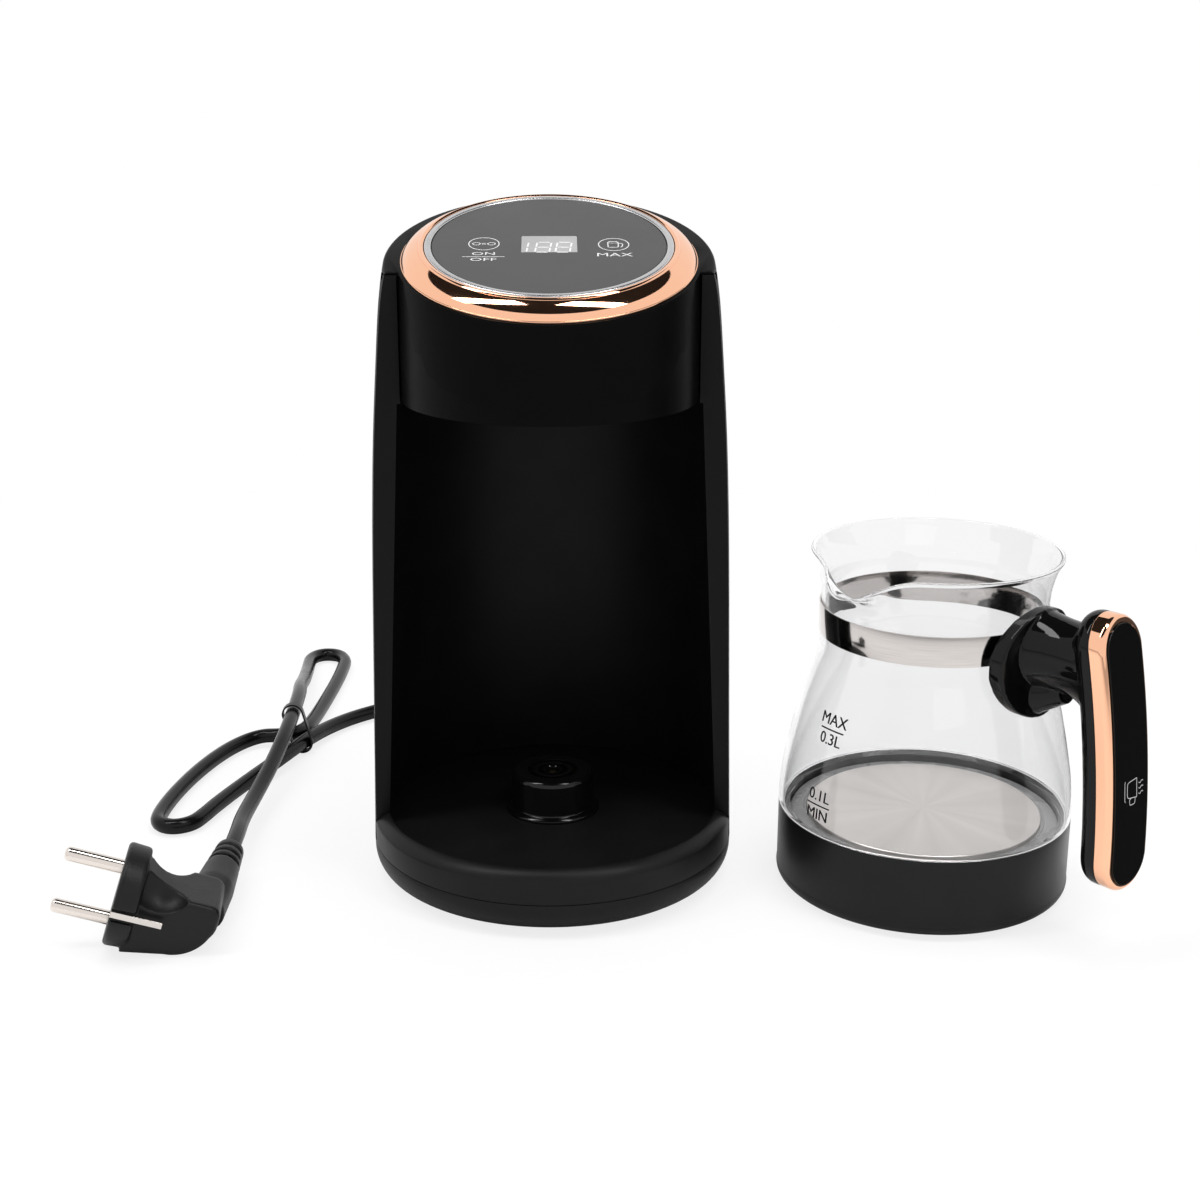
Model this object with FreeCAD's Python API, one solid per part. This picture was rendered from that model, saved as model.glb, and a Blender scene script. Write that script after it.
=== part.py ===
"""Electric coffee maker: a docking base unit, a heated glass carafe and a mains lead.

Millimetres, +Z up.  The origin lies on the tabletop, on the axis of the dock.  The bay
opens towards -Y, and the carafe stands on the table to the +X side of the base unit.
"""
import FreeCAD, Part

import math
import os

Vector = FreeCAD.Vector
UP = Vector(0, 0, 1)
X_AXIS = Vector(1, 0, 0)
Y_AXIS = Vector(0, 1, 0)

# ---------------------------------------------------------------- driving dimensions
# Clearances
SEAM_GAP = 0.3            # open joint between two mouldings
FIT_GAP = 0.15            # one piece located in another
SCREW_GAP = 0.05          # screw in its threaded hole
CASE_SCREW = 1.4          # shank radius of the screws of the casing
PANEL_SCREW = 1.0         # shank radius of the screws under the panel

# Casing
WALL = 2.3                # moulded wall of the casing
FOOT_HEIGHT = 2.0         # underside of the pan above the table
PAN_TOP = 12.2            # joint between pan and tray
TRAY_EDGE = 20.1          # outer edge of the tray's sloping lip
LIP_TOP = 23.7            # inner edge of the lip
DECK_TOP = 20.5           # floor of the bay
PAN_BOTTOM_RADIUS = 58.5
CASE_RADIUS = 64.2        # half width of the casing at the pan joint
CASE_RADIUS_WAIST = 61.9
WAIST_HEIGHT = 113.0
CASE_RADIUS_SHOULDER = 59.6
SHOULDER_HEIGHT = 168.0
CASE_RADIUS_CROWN = 57.9    # 24 mm above the shoulder
CASE_RADIUS_BROW = 56.3     # 41 mm above the shoulder
COLLAR_RADIUS = 54.8        # edge of the tilted top, round the ring
COLLAR_ROUNDING = 1.2
BACK_DEPTH = 20.0         # how much deeper the back is than a half circle
SEAM_Y = -9.7             # front edge of the rear shell
STRIP_FRONT_Y = -12.0     # front face of the two side strips

# Bay for the carafe
BAY_RADIUS_FOOT = 59.2
BAY_RADIUS_TOP = 52.4
BAY_TOP = 171.0
BAY_WALL = 2.0
STRIP_TOP = 213.5
STRIP_NECK_X = 49.9       # inner edge of the strips beside the head

# Head
HEAD_RADIUS = 50.5        # round front of the head
HEAD_BOTTOM = 171.7
HEAD_CENTRE_Y = -3.0
PANEL_TILT = 16.8         # degrees, towards the user
PANEL_Y = -3.1            # centre of the panel's rim
PANEL_Z = 222.8
COVER_DEPTH = 5.5         # top of the cover below the rim, along the panel's axis
COVER_OPENING = 46.1
COVER_PLUG_RADIUS = 55.4  # where cover and rear shell meet
CEILING_THICKNESS = 2.0
DRUM_BACK_Y = -5.0        # where the cover's round front ends
WEB_X = 51.6              # stiffening webs behind the strips
WEB_HALF = 0.8            # half the thickness of a web
WEB_BACK_Y = 2.0

# Control panel stack, measured along the panel's axis down from the rim
RIM_OUTER = 41.3
RIM_INNER = 38.9
RIM_HEIGHT = 7.0
RIM_LEDGE = 35.5
PANEL_DROP = 0.3
PANEL_THICKNESS = 2.0
WINDOW_WIDTH = 18.6
WINDOW_HEIGHT = 13.5
RING_OUTER = 49.3
RING_DROP = 4.6
RING_SKIRT_OUTER = 45.8
RING_SKIRT_INNER = 42.8
RING_SKIRT_DEPTH = 9.5
CARRIER_THICKNESS = 1.8
CARRIER_OPENING = 33.0
BOARD_RADIUS = 36.0
BOARD_THICKNESS = 1.6
BOARD_DEPTH = 15.2
BOARD_POST_RADIUS = 2.6
BOARD_POST_CIRCLE = 31.0
TOUCH_KEY_X = 21.3

# Dock
PEDESTAL_TOP = 35.3
PEDESTAL_RADIUS = 14.6
PEDESTAL_FLANGE = 16.8
PEDESTAL_FLANGE_TOP = 22.0
PEDESTAL_STEM_RADIUS = 12.9
PEDESTAL_STEM_BOTTOM = 8.0
CONTACT_RING_RADII = (4.6, 8.0)
CONTACT_RING_WALL = 0.7
CONTACT_SLOT_WIDTH = 1.7
CONTACT_PIN_RADIUS = 1.9
CONTACT_REACH = 4.0       # depth at which the two halves of the coupling meet

# Electrics
POWER_BOARD_WIDTH = 60.0
POWER_BOARD_BOTTOM = 62.0
POWER_BOARD_TOP = 152.0
POWER_BOARD_STANDOFF = 3.0
WIRE_RADIUS = 1.6
TERMINAL_X = (11.0, 16.0, 21.0)
TERMINAL_DEPTH = 6.0
CORE_RADIUS = 1.2

# Carafe
CARAFE_X = 131.3
CARAFE_Y = -17.5
CARAFE_FOOT = 1.6
CUP_RADIUS = 51.0
CUP_FOOT_RADIUS = 48.6
CUP_TOP = 28.7
CUP_WALL = 2.0
GLASS_WALL = 2.0
GLASS_SHOULDER_ARC = 50.0
GLASS_SHOULDER_Z = 31.0
GLASS_NECK_RADIUS = 38.6
GLASS_NECK_Z = 92.0
GLASS_FLARE_Z = 104.0
GLASS_RIM_RADIUS = 43.2
GLASS_RIM_Z = 121.9
GLASS_SPIGOT = 6.0        # depth of the glass inside the cup
SPOUT_AZIMUTH = -140.0
PLATE_RADIUS = 41.1
PLATE_TOP = 26.6
BAND_BOTTOM = 92.3
BAND_TOP = 102.6
BAND_THICKNESS = 0.5
COUPLER_RADIUS = 15.4
COUPLER_DEPTH = 16.2
CUP_SCREW_CIRCLE = 45.2
SPREADER_THICKNESS = 2.5
ELEMENT_CIRCLE = 26.0
ELEMENT_RADIUS = 3.2
ELEMENT_DROP = 11.0       # cold ends below the element's ring
LEAD_RADIUS = 0.9
COUPLER_WALL = 2.2
SPOUT_REACH = 11.5        # bulge of the lip, 10 mm above the neck
SPOUT_SPREAD = 15.0       # degrees
SPOUT_DIP = 8.0

# Handle
HANDLE_AZIMUTH = -50.0
FLANGE_RADIUS = 18.6
FLANGE_CENTRE_Z = 92.4
FLANGE_INNER = 41.7
FLANGE_THICKNESS = 4.6
NECK_Z = 97.4
NECK_END = 68.0           # the neck runs into the grip up to here
NECK_SECTIONS = (         # distance from the axis, half width, half height, drop
    (43.0, 12.6, 13.6, 0.0),
    (51.0, 10.4, 12.4, 0.0),
    (60.0, 9.9, 12.6, 0.6),
    (NECK_END, 10.9, 17.0, 2.6),
)
PAD_RADIUS = 8.0          # seat of the neck on the band
NUT_HALF = 4.5            # threaded block on the band
NUT_END = 44.0
NUT_GAP = 0.3
BAND_GAP = 0.1            # between the band and the glass
GUSSET_Z = 81.6           # bump under the neck, on the flange
GUSSET_RADIUS = 8.0
GUSSET_TIP_RADIUS = 4.5
GUSSET_END = 56.0
GRIP_HALF_WIDTH = 11.3
GRIP_BOTTOM = 24.4
GRIP_TOP = 115.2
GRIP_FACE = ((72.4, 115.2), (80.4, 72.0), (83.2, 24.4))   # outer face in side view
TRIM_DEPTH = 5.2
TRIM_ROUNDING = 1.9
GRIP_DEPTH = 12.2
GRIP_ROUNDING = 4.4
INSERT_INSET = 2.2
INSERT_PROUD = 0.5
INSERT_THICKNESS = 2.4
SCREW_SHANK = 2.0
SCREW_HEAD = 3.6
SCREW_SEAT = 67.0

# Mains lead
CORD_RADIUS = 3.0
TIE_Y = 105.0
TIE_WIDTH = 3.0
TIE_THICKNESS = 0.7
TIE_SLACK = 0.75
TIE_LOWER = (-104.3, 4.9)   # strands inside the tie, in the X-Z plane
TIE_UPPER = (-107.7, 17.6)
OUTLET_X = 0.0
OUTLET_Z = 29.0
GLAND_LENGTH = 27.0
GLAND_RADIUS = 5.6
GLAND_TIP_RADIUS = 3.9
GLAND_NECK_RADIUS = 4.2   # in the hole of the rear shell
GLAND_FLANGE_RADIUS = 6.8
GLAND_RIBS = 5
PIN_RADIUS = 2.4
PIN_LENGTH = 19.0
PIN_TIP = 1.4             # rounded end of a pin
PIN_SHANK_RADIUS = 2.0    # the part of a pin inside the moulding
PIN_SPACING = 19.0
PLUG_FACE_RADIUS = 17.2
PLUG_FACE_THICKNESS = 8.0
PLUG_DEPTH = 34.3         # from the face to the rear end
PLUG_HALF_WIDTH = 12.5
PLUG_GRIP_TOP = 12.8      # of the grip beside the face, above the middle of the pins
PLUG_GRIP_LOW = 8.4       # of the grip further back
PLUG_BASE_FRONT = -15.0   # underside of the grip beside the face
PLUG_BASE_REAR = -12.2    # and where it starts to rise
PLUG_ROUNDING = 2.0
THUMB_RADIUS = 11.0
THUMB_CENTRE = Vector(-14.0, 15.0, 13.0)
PLUG_X = -144.0           # middle of the plug's face
PLUG_Y = -62.7
PLUG_PIN_AXIS = Vector(-0.943, -0.094, 0.318)
RELIEF_ROOT = Vector(-116.6, -50.0, 8.6)
RELIEF_TIP = Vector(-115.0, -12.5, 10.2)
RELIEF_ROOT_RADIUS = 7.1
RELIEF_BUTT = 8.0         # the sleeve starts this far before its root
RELIEF_RIBS = 3
RELIEF_RIB_PITCH = 4.4
RELIEF_SLOT = 1.6
RELIEF_TIP_RADIUS = 5.0
EARTH_STRIP_WIDTH = 4.6
EARTH_STRIP_LENGTH = 17.0
EARTH_STRIP_SEAT = 2.0    # depth of the strip's groove in the rim of the face
EARTH_STRIP_THICKNESS = 1.0
PIN_ROOT = 9.0            # length of a pin inside the moulding


# ------------------------------------------------------------------------ shape tools
def outline(start, *steps):
    """Closed wire in the X-Z plane.  A step is a point (line) or a (via, end) pair (arc)."""
    def point(pair):
        return Vector(pair[0], 0, pair[1])

    edges = []
    here = start
    for step in list(steps) + [start]:
        if isinstance(step[0], tuple):
            via, end = step
            edges.append(Part.Arc(point(here), point(via), point(end)).toShape())
        else:
            end = step
            if (point(end) - point(here)).Length > 1e-7:
                edges.append(Part.LineSegment(point(here), point(end)).toShape())
        here = end
    return Part.Wire(edges)


def turned(start, *steps):
    """Solid of revolution about Z."""
    return Part.Face(outline(start, *steps)).revolve(Vector(0, 0, 0), UP, 360)


def disc(radius, bottom, top, x=0.0, y=0.0):
    return Part.makeCylinder(radius, top - bottom, Vector(x, y, bottom), UP)


def ring(outer, inner, bottom, top, x=0.0, y=0.0):
    return disc(outer, bottom, top, x, y).cut(disc(inner, bottom - 1, top + 1, x, y))


def rod(radius, start, end):
    return Part.makeCylinder(radius, (end - start).Length, start, end - start)


def block(x0, x1, y0, y1, z0, z1):
    return Part.makeBox(x1 - x0, y1 - y0, z1 - z0, Vector(x0, y0, z0))


def around(count, radius, first=0.0):
    """Evenly spaced places on a circle."""
    angles = [math.radians(first + 360.0 * i / count) for i in range(count)]
    return [(radius * math.cos(a), radius * math.sin(a)) for a in angles]


def rounded(shape, radius, chosen):
    """Fillet the edges that the test picks."""
    edges = [edge for edge in shape.Edges if chosen(edge)]
    return shape.makeFillet(radius, edges)


def together(*shapes):
    shape = shapes[0].fuse(list(shapes[1:])) if len(shapes) > 1 else shapes[0]
    return shape.removeSplitter()


def group(*shapes):
    return Part.makeCompound(list(shapes))


def moved_along_x(shape, distance):
    copy = shape.copy()
    copy.translate(X_AXIS * distance)
    return copy


def turned_about_z(shape, degrees):
    copy = shape.copy()
    copy.rotate(Vector(0, 0, 0), UP, degrees)
    return copy


def screw(x, y, seat, length, head_radius=2.6, shank_radius=CASE_SCREW, head_height=1.8):
    """Pan head screw driven upwards: its head lies under the seat."""
    head = turned((0, seat - head_height), (head_radius * 0.7, seat - head_height),
                  ((head_radius * 0.93, seat - head_height * 0.72), (head_radius, seat)),
                  (0, seat))
    slot = Part.makeBox(head_radius * 1.1, 0.6, 0.9,
                        Vector(-head_radius * 0.55, -0.3, seat - head_height))
    cross = slot.copy()
    cross.rotate(Vector(0, 0, 0), UP, 90)
    body = head.cut([slot, cross]).fuse(disc(shank_radius, seat, seat + length))
    body.translate(Vector(x, y, 0))
    return body


def bent_wire(points, share=0.45):
    """Wire of straight runs joined by tangent arcs, and the radii of its arcs."""
    places = [Vector(*p) for p in points]
    edges = []
    radii = []
    here = places[0]
    for before, corner, after in zip(places, places[1:], places[2:]):
        inward = (corner - before).normalize()
        outward = (after - corner).normalize()
        turn = inward.getAngle(outward)
        reach = share * min((corner - before).Length, (after - corner).Length)
        radius = reach / math.tan(turn / 2)
        first = corner - inward * reach
        last = corner + outward * reach
        bisector = (outward - inward).normalize()
        middle = corner + bisector * (radius / math.cos(turn / 2) - radius)
        edges.append(Part.LineSegment(here, first).toShape())
        edges.append(Part.Arc(first, middle, last).toShape())
        radii.append(radius)
        here = last
    edges.append(Part.LineSegment(here, places[-1]).toShape())
    return Part.Wire(edges), radii


def tube(points, radius, share=0.45):
    """Round solid along a route."""
    path, radii = bent_wire(points, share)
    start = Vector(*points[0])
    direction = Vector(*points[1]) - start
    section = Part.Wire([Part.Circle(start, direction, radius).toShape()])
    solid = path.makePipeShell([section], True, False, 2)
    return solid, path, radii


def save(name, shape):
    for solid in shape.Solids:
        if not solid.isValid():
            print("INVALID", name)
    shape.exportStep(f"parts/{name}.step")
    print(name, len(shape.Solids), round(shape.Volume, 1))


# ------------------------------------------------------------------ form of the casing
def case_section(height, radius, depth, tilt=0.0, centre_y=0.0):
    """Plan outline of the casing: a half circle in front, a half ellipse behind."""
    left = Vector(-radius, 0, 0)
    right = Vector(radius, 0, 0)
    front = Part.Arc(left, Vector(0, -radius, 0), right).toShape()
    back_depth = radius + max(depth, 0.001)
    ellipse = Part.Ellipse(Vector(0, back_depth, 0), right, Vector(0, 0, 0))
    back = Part.Arc(ellipse, -math.pi / 2, math.pi / 2).toShape()
    wire = Part.Wire([front, back])
    wire.rotate(Vector(0, 0, 0), X_AXIS, tilt)
    wire.translate(Vector(0, centre_y, height))
    return wire


def panel_axis():
    tilt = math.radians(PANEL_TILT)
    return Vector(0, -math.sin(tilt), math.cos(tilt))


def panel_point(depth):
    """Point on the panel's axis, depth below the rim."""
    return Vector(0, PANEL_Y, PANEL_Z) - panel_axis() * depth


def on_panel(shape):
    """Move a shape drawn about Z, with the rim at z 0, onto the tilted panel."""
    copy = shape.copy()
    copy.rotate(Vector(0, 0, 0), X_AXIS, PANEL_TILT)
    copy.translate(Vector(0, PANEL_Y, PANEL_Z))
    return copy


def case_form(inset=0.0, bottom=PAN_TOP):
    """Solid of the casing above the pan, from the foot to the tilted top."""
    collar = panel_point(COVER_DEPTH + inset)
    stations = [
        (bottom, CASE_RADIUS, BACK_DEPTH, 0.0, 0.0),
        (WAIST_HEIGHT * 0.55, (CASE_RADIUS + CASE_RADIUS_WAIST) / 2, BACK_DEPTH, 0.0, 0.0),
        (WAIST_HEIGHT, CASE_RADIUS_WAIST, BACK_DEPTH, 0.0, 0.0),
        (SHOULDER_HEIGHT, CASE_RADIUS_SHOULDER, BACK_DEPTH * 0.9, 0.0, 0.0),
        (SHOULDER_HEIGHT + 24, CASE_RADIUS_CROWN, BACK_DEPTH * 0.6, PANEL_TILT * 0.3, -0.4),
        (SHOULDER_HEIGHT + 41, CASE_RADIUS_BROW, BACK_DEPTH * 0.22, PANEL_TILT * 0.75, -1.0),
        (collar.z, COLLAR_RADIUS + inset * 0.6, 0.0, PANEL_TILT, collar.y),
    ]
    wires = [case_section(z, r - inset, d, tilt, y) for z, r, d, tilt, y in stations]
    return Part.makeLoft(wires, True, False)


def case_shell():
    """Wall of the casing, open below, with the edge of its tilted top rounded."""
    def on_collar(edge):
        middle = edge.valueAt((edge.FirstParameter + edge.LastParameter) / 2)
        return abs((middle - panel_point(COVER_DEPTH)).dot(panel_axis())) < 0.01

    outside = rounded(case_form(), COLLAR_ROUNDING, on_collar)
    return outside.cut(case_form(WALL, PAN_TOP - 1))


def head_drum(inset=0.0):
    """Solid of the round head in front, from its flat bottom to the tilted top."""
    collar = panel_point(COVER_DEPTH + inset)
    bottom = Part.Wire([Part.Circle(Vector(0, HEAD_CENTRE_Y, HEAD_BOTTOM), UP,
                                    HEAD_RADIUS - SEAM_GAP - inset).toShape()])
    top = Part.Wire([Part.Circle(collar, panel_axis(), HEAD_RADIUS - inset).toShape()])
    return Part.makeLoft([bottom, top], True, True)


def bay_radius(height):
    share = (height - DECK_TOP) / (BAY_TOP - DECK_TOP)
    return BAY_RADIUS_FOOT + (BAY_RADIUS_TOP - BAY_RADIUS_FOOT) * share


def bay_cone(extra, bottom, top):
    """Solid of the bay, grown outwards by extra."""
    return Part.makeCone(bay_radius(bottom) + extra, bay_radius(top) + extra, top - bottom,
                         Vector(0, 0, bottom), UP)


def front_of(y):
    return block(-200, 200, -200, y, -10, 400)


def behind(y):
    return block(-200, 200, y, 300, -10, 400)


# ------------------------------------------------------------------------- base unit
FOOT_PLACES = [(40.0, -28.0), (-40.0, -28.0), (38.0, 52.0), (-38.0, 52.0)]
PAN_SCREW_PLACES = [(34.0, -44.0), (-34.0, -44.0), (50.0, 30.0), (-50.0, 30.0)]
PAN_FLOOR = FOOT_HEIGHT + WALL
FOOT_STEM_RADIUS = 2.6
FOOT_HEAD_RADIUS = 3.4
FOOT_HEAD_HEIGHT = 1.8


def base_pan():
    """Bottom cover with a rounded lower edge, foot sockets and screw wells."""
    def bowl(inset, bottom):
        sections = [(bottom, PAN_BOTTOM_RADIUS), (bottom + 1.2, PAN_BOTTOM_RADIUS + 2.6),
                    (bottom + 4.2, CASE_RADIUS - 0.9), (PAN_TOP, CASE_RADIUS - 0.3)]
        return Part.makeLoft([case_section(z, r - inset, BACK_DEPTH) for z, r in sections],
                             True, False)

    pan = bowl(0, FOOT_HEIGHT).cut(bowl(WALL, PAN_FLOOR))
    wells = [disc(4.6, PAN_FLOOR - 1, PAN_TOP - 3.4, x, y) for x, y in PAN_SCREW_PLACES]
    pan = pan.fuse(wells)
    cuts = [disc(3.1, FOOT_HEIGHT - 1, PAN_TOP - 5.2, x, y) for x, y in PAN_SCREW_PLACES]
    cuts += [disc(CASE_SCREW + FIT_GAP, 0, PAN_TOP, x, y) for x, y in PAN_SCREW_PLACES]
    cuts += [disc(FOOT_STEM_RADIUS, 0, PAN_FLOOR + 1, x, y) for x, y in FOOT_PLACES]
    cuts += [disc(FOOT_HEAD_RADIUS + FIT_GAP, PAN_FLOOR, PAN_FLOOR + FOOT_HEAD_HEIGHT, x, y)
             for x, y in FOOT_PLACES]
    cuts += [block(x - 1.2, x + 1.2, -14, 14, 0, PAN_FLOOR + 1) for x in range(-18, 19, 6)]
    return pan.cut(cuts)


def rubber_feet():
    """Feet pushed through the pan, each with a barbed head inside."""
    def foot(x, y):
        pad = turned((0, 0), (5.0, 0), ((5.8, 0.35), (6.2, 1.1)), (6.2, FOOT_HEIGHT), (0, FOOT_HEIGHT))
        stem = disc(FOOT_STEM_RADIUS - SCREW_GAP, FOOT_HEIGHT, PAN_FLOOR + 0.2)
        top = PAN_FLOOR + FOOT_HEAD_HEIGHT
        head = turned((0, PAN_FLOOR), (FOOT_HEAD_RADIUS, PAN_FLOOR), (2.0, top), (0, top))
        shape = together(pad, stem, head)
        shape.translate(Vector(x, y, 0))
        return shape

    return group(*[foot(x, y) for x, y in FOOT_PLACES])


def base_screws():
    seat = PAN_TOP - 5.2
    return group(*[screw(x, y, seat, 9.0) for x, y in PAN_SCREW_PLACES])


def base_tray():
    """Deck of the bay with its sloping lip and the wall that stands on the pan."""
    bottom = PAN_TOP + SEAM_GAP
    full = Part.makeLoft([case_section(z, CASE_RADIUS - 0.25, BACK_DEPTH)
                          for z in (bottom, TRAY_EDGE)], True, True)
    front = full.common(front_of(SEAM_Y - SEAM_GAP))
    inset = WALL + SEAM_GAP + 0.3
    rear = Part.makeLoft([case_section(z, CASE_RADIUS - inset, BACK_DEPTH)
                          for z in (bottom, DECK_TOP)], True, True)
    lip = turned((BAY_RADIUS_FOOT - 0.4, TRAY_EDGE - 1), (CASE_RADIUS - 0.25, TRAY_EDGE - 1),
                 (CASE_RADIUS - 0.25, TRAY_EDGE),
                 ((CASE_RADIUS - 1.9, TRAY_EDGE + 2.2), (BAY_RADIUS_FOOT + 0.5, LIP_TOP)),
                 ((BAY_RADIUS_FOOT - 0.1, LIP_TOP - 0.1), (BAY_RADIUS_FOOT - 0.4, LIP_TOP - 0.8)))
    lip = lip.common(front_of(STRIP_FRONT_Y - SEAM_GAP))
    solid = together(front, rear, lip)
    hollow = Part.makeLoft([case_section(z, CASE_RADIUS - inset - WALL, BACK_DEPTH)
                            for z in (bottom - 1, DECK_TOP - WALL)], True, True)
    bosses = [disc(3.6, PAN_TOP - 3.4 + 0.1, DECK_TOP - 1, x, y) for x, y in PAN_SCREW_PLACES]
    solid = solid.cut(hollow).fuse(bosses)
    cuts = [disc(CASE_SCREW + SCREW_GAP, 0, DECK_TOP - 1.5, x, y) for x, y in PAN_SCREW_PLACES]
    cuts.append(disc(PEDESTAL_STEM_RADIUS + FIT_GAP, 0, 60))
    cuts.append(block(-16, 16, bay_radius(DECK_TOP) + 6, bay_radius(DECK_TOP) + 14, 0, 60))
    return solid.cut(cuts).removeSplitter()


def dock_pedestal():
    """Round male connector housing, with slots for the ring contacts in its top."""
    shell = turned((0, PEDESTAL_TOP - 0.6), (3.0, PEDESTAL_TOP - 0.6), (3.4, PEDESTAL_TOP - 0.2),
                   (9.4, PEDESTAL_TOP - 0.2), (9.8, PEDESTAL_TOP),
                   (PEDESTAL_RADIUS - 2.2, PEDESTAL_TOP),
                   ((PEDESTAL_RADIUS - 0.64, PEDESTAL_TOP - 0.64),
                    (PEDESTAL_RADIUS, PEDESTAL_TOP - 2.2)),
                   (PEDESTAL_RADIUS, PEDESTAL_FLANGE_TOP + 0.8),
                   ((PEDESTAL_RADIUS + 0.25, PEDESTAL_FLANGE_TOP + 0.25),
                    (PEDESTAL_RADIUS + 0.8, PEDESTAL_FLANGE_TOP)),
                   (PEDESTAL_FLANGE - 0.6, PEDESTAL_FLANGE_TOP),
                   (PEDESTAL_FLANGE, PEDESTAL_FLANGE_TOP - 0.6),
                   (PEDESTAL_FLANGE, DECK_TOP), (PEDESTAL_STEM_RADIUS, DECK_TOP),
                   (PEDESTAL_STEM_RADIUS, PEDESTAL_STEM_BOTTOM),
                   (PEDESTAL_STEM_RADIUS - 1.8, PEDESTAL_STEM_BOTTOM),
                   (PEDESTAL_STEM_RADIUS - 1.8, PEDESTAL_TOP - 6.5), (0, PEDESTAL_TOP - 6.5))
    half = CONTACT_SLOT_WIDTH / 2
    slots = [ring(r + half, r - half, PEDESTAL_TOP - 8, PEDESTAL_TOP + 1) for r in CONTACT_RING_RADII]
    bridges = [block(-15, 15, -0.7, 0.7, PEDESTAL_TOP - 8, PEDESTAL_TOP - 2.4)]
    slots = [slot.cut(bridges) for slot in slots]
    slots.append(disc(CONTACT_PIN_RADIUS + 0.5, PEDESTAL_TOP - 8, PEDESTAL_TOP + 1))
    return shell.cut(slots)


def dock_contacts():
    """Centre pin and two split ring contacts."""
    foot = PEDESTAL_STEM_BOTTOM + 4.6
    pin = turned((0, foot), (CONTACT_PIN_RADIUS, foot), (CONTACT_PIN_RADIUS, PEDESTAL_TOP - 2.4),
                 ((CONTACT_PIN_RADIUS * 0.8, PEDESTAL_TOP - 1.5), (0.4, PEDESTAL_TOP - 1.0)),
                 (0, PEDESTAL_TOP - 1.0))
    slit = block(-15, 15, -1.1, 1.1, PEDESTAL_TOP - 9, PEDESTAL_TOP)
    half = CONTACT_RING_WALL / 2
    rings = [ring(r + half, r - half, foot, PEDESTAL_TOP - CONTACT_REACH).cut(slit)
             for r in CONTACT_RING_RADII]
    return group(pin, *rings)


def dock_terminals():
    """Insulating disc in the pedestal's stem that carries the contacts."""
    bottom = PEDESTAL_STEM_BOTTOM + 1.2
    plate = disc(PEDESTAL_STEM_RADIUS - 1.8 - FIT_GAP, bottom, bottom + 3.4)
    tabs = [block(x - 1.6, x + 1.6, -0.4, 0.4, PEDESTAL_STEM_BOTTOM - 2.6, PEDESTAL_STEM_BOTTOM + 1.4)
            for x in (-6.5, 0.0, 6.5)]
    return together(plate, *tabs)


def bay_liner():
    """C-shaped wall of the bay with the two flat side strips that frame its front."""
    foot = DECK_TOP + SEAM_GAP
    cone = bay_cone(BAY_WALL, foot, BAY_TOP + 2.5).cut(bay_cone(0, foot - 1, BAY_TOP + 3.5))
    cone = cone.common(behind(STRIP_FRONT_Y + 0.5))
    slab = block(-80, 80, STRIP_FRONT_Y, SEAM_Y - SEAM_GAP, foot, STRIP_TOP)
    strips = case_form().common(slab)
    strips = strips.cut([bay_cone(0, foot - 1, BAY_TOP),
                         block(-STRIP_NECK_X, STRIP_NECK_X, -30, 30, BAY_TOP - 0.1, STRIP_TOP + 5)])
    web = block(-WEB_HALF, WEB_HALF, SEAM_Y - 1.6, WEB_BACK_Y, BAY_TOP + 2, STRIP_TOP - 11)
    webs = [moved_along_x(web, side * WEB_X) for side in (-1, 1)]
    bosses = [rod(3.2, Vector(x, bay_radius(z) - 0.5, z), Vector(x, power_board_y(), z))
              for x, z in power_board_screw_places()]
    bosses = [boss.cut(bay_cone(BAY_WALL * 0.5, foot, BAY_TOP)) for boss in bosses]
    solid = together(cone, strips, *webs, *bosses)
    seat = power_board_y()
    holes = [rod(CASE_SCREW + SCREW_GAP, Vector(x, seat - 6.0, z), Vector(x, seat + 1, z))
             for x, z in power_board_screw_places()]
    return solid.cut(holes)


def back_shell():
    """Outer casing round the back and sides, open at the front and round the head cover."""
    plug = on_panel(disc(COVER_PLUG_RADIUS + SEAM_GAP, -60, 60))
    high = block(-200, 200, -200, 200, STRIP_TOP - 6, 400)
    shell = case_shell().cut(plug.common(high)).common(behind(SEAM_Y))
    outlet = rod(GLAND_NECK_RADIUS + FIT_GAP, Vector(OUTLET_X, 60, OUTLET_Z),
                 Vector(OUTLET_X, 120, OUTLET_Z))
    return max(shell.cut(outlet).Solids, key=lambda s: s.Volume)


def head_cover():
    """Round front of the head, its shoulder and the tilted plate round the panel."""
    drum = head_drum().cut(head_drum(WALL)).common(front_of(DRUM_BACK_Y))
    plate = on_panel(disc(HEAD_RADIUS, -COVER_DEPTH - WALL, -COVER_DEPTH))
    plug = on_panel(disc(COVER_PLUG_RADIUS, -40, 10))
    above = block(-200, 200, STRIP_FRONT_Y, 200, STRIP_TOP + SEAM_GAP, 400)
    shoulder = case_shell().common(plug).common(above)
    ledge = ring(HEAD_RADIUS - WALL + 0.2, HEAD_RADIUS - WALL - 3.0, HEAD_BOTTOM + 0.8, HEAD_BOTTOM + 2.0,
                 0, HEAD_CENTRE_Y).common(front_of(-14.0))
    solid = together(drum, plate, shoulder, ledge)
    return solid.cut(on_panel(disc(COVER_OPENING, -60, 60).cut(disc(90, -60, -9 - COVER_DEPTH))))


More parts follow.
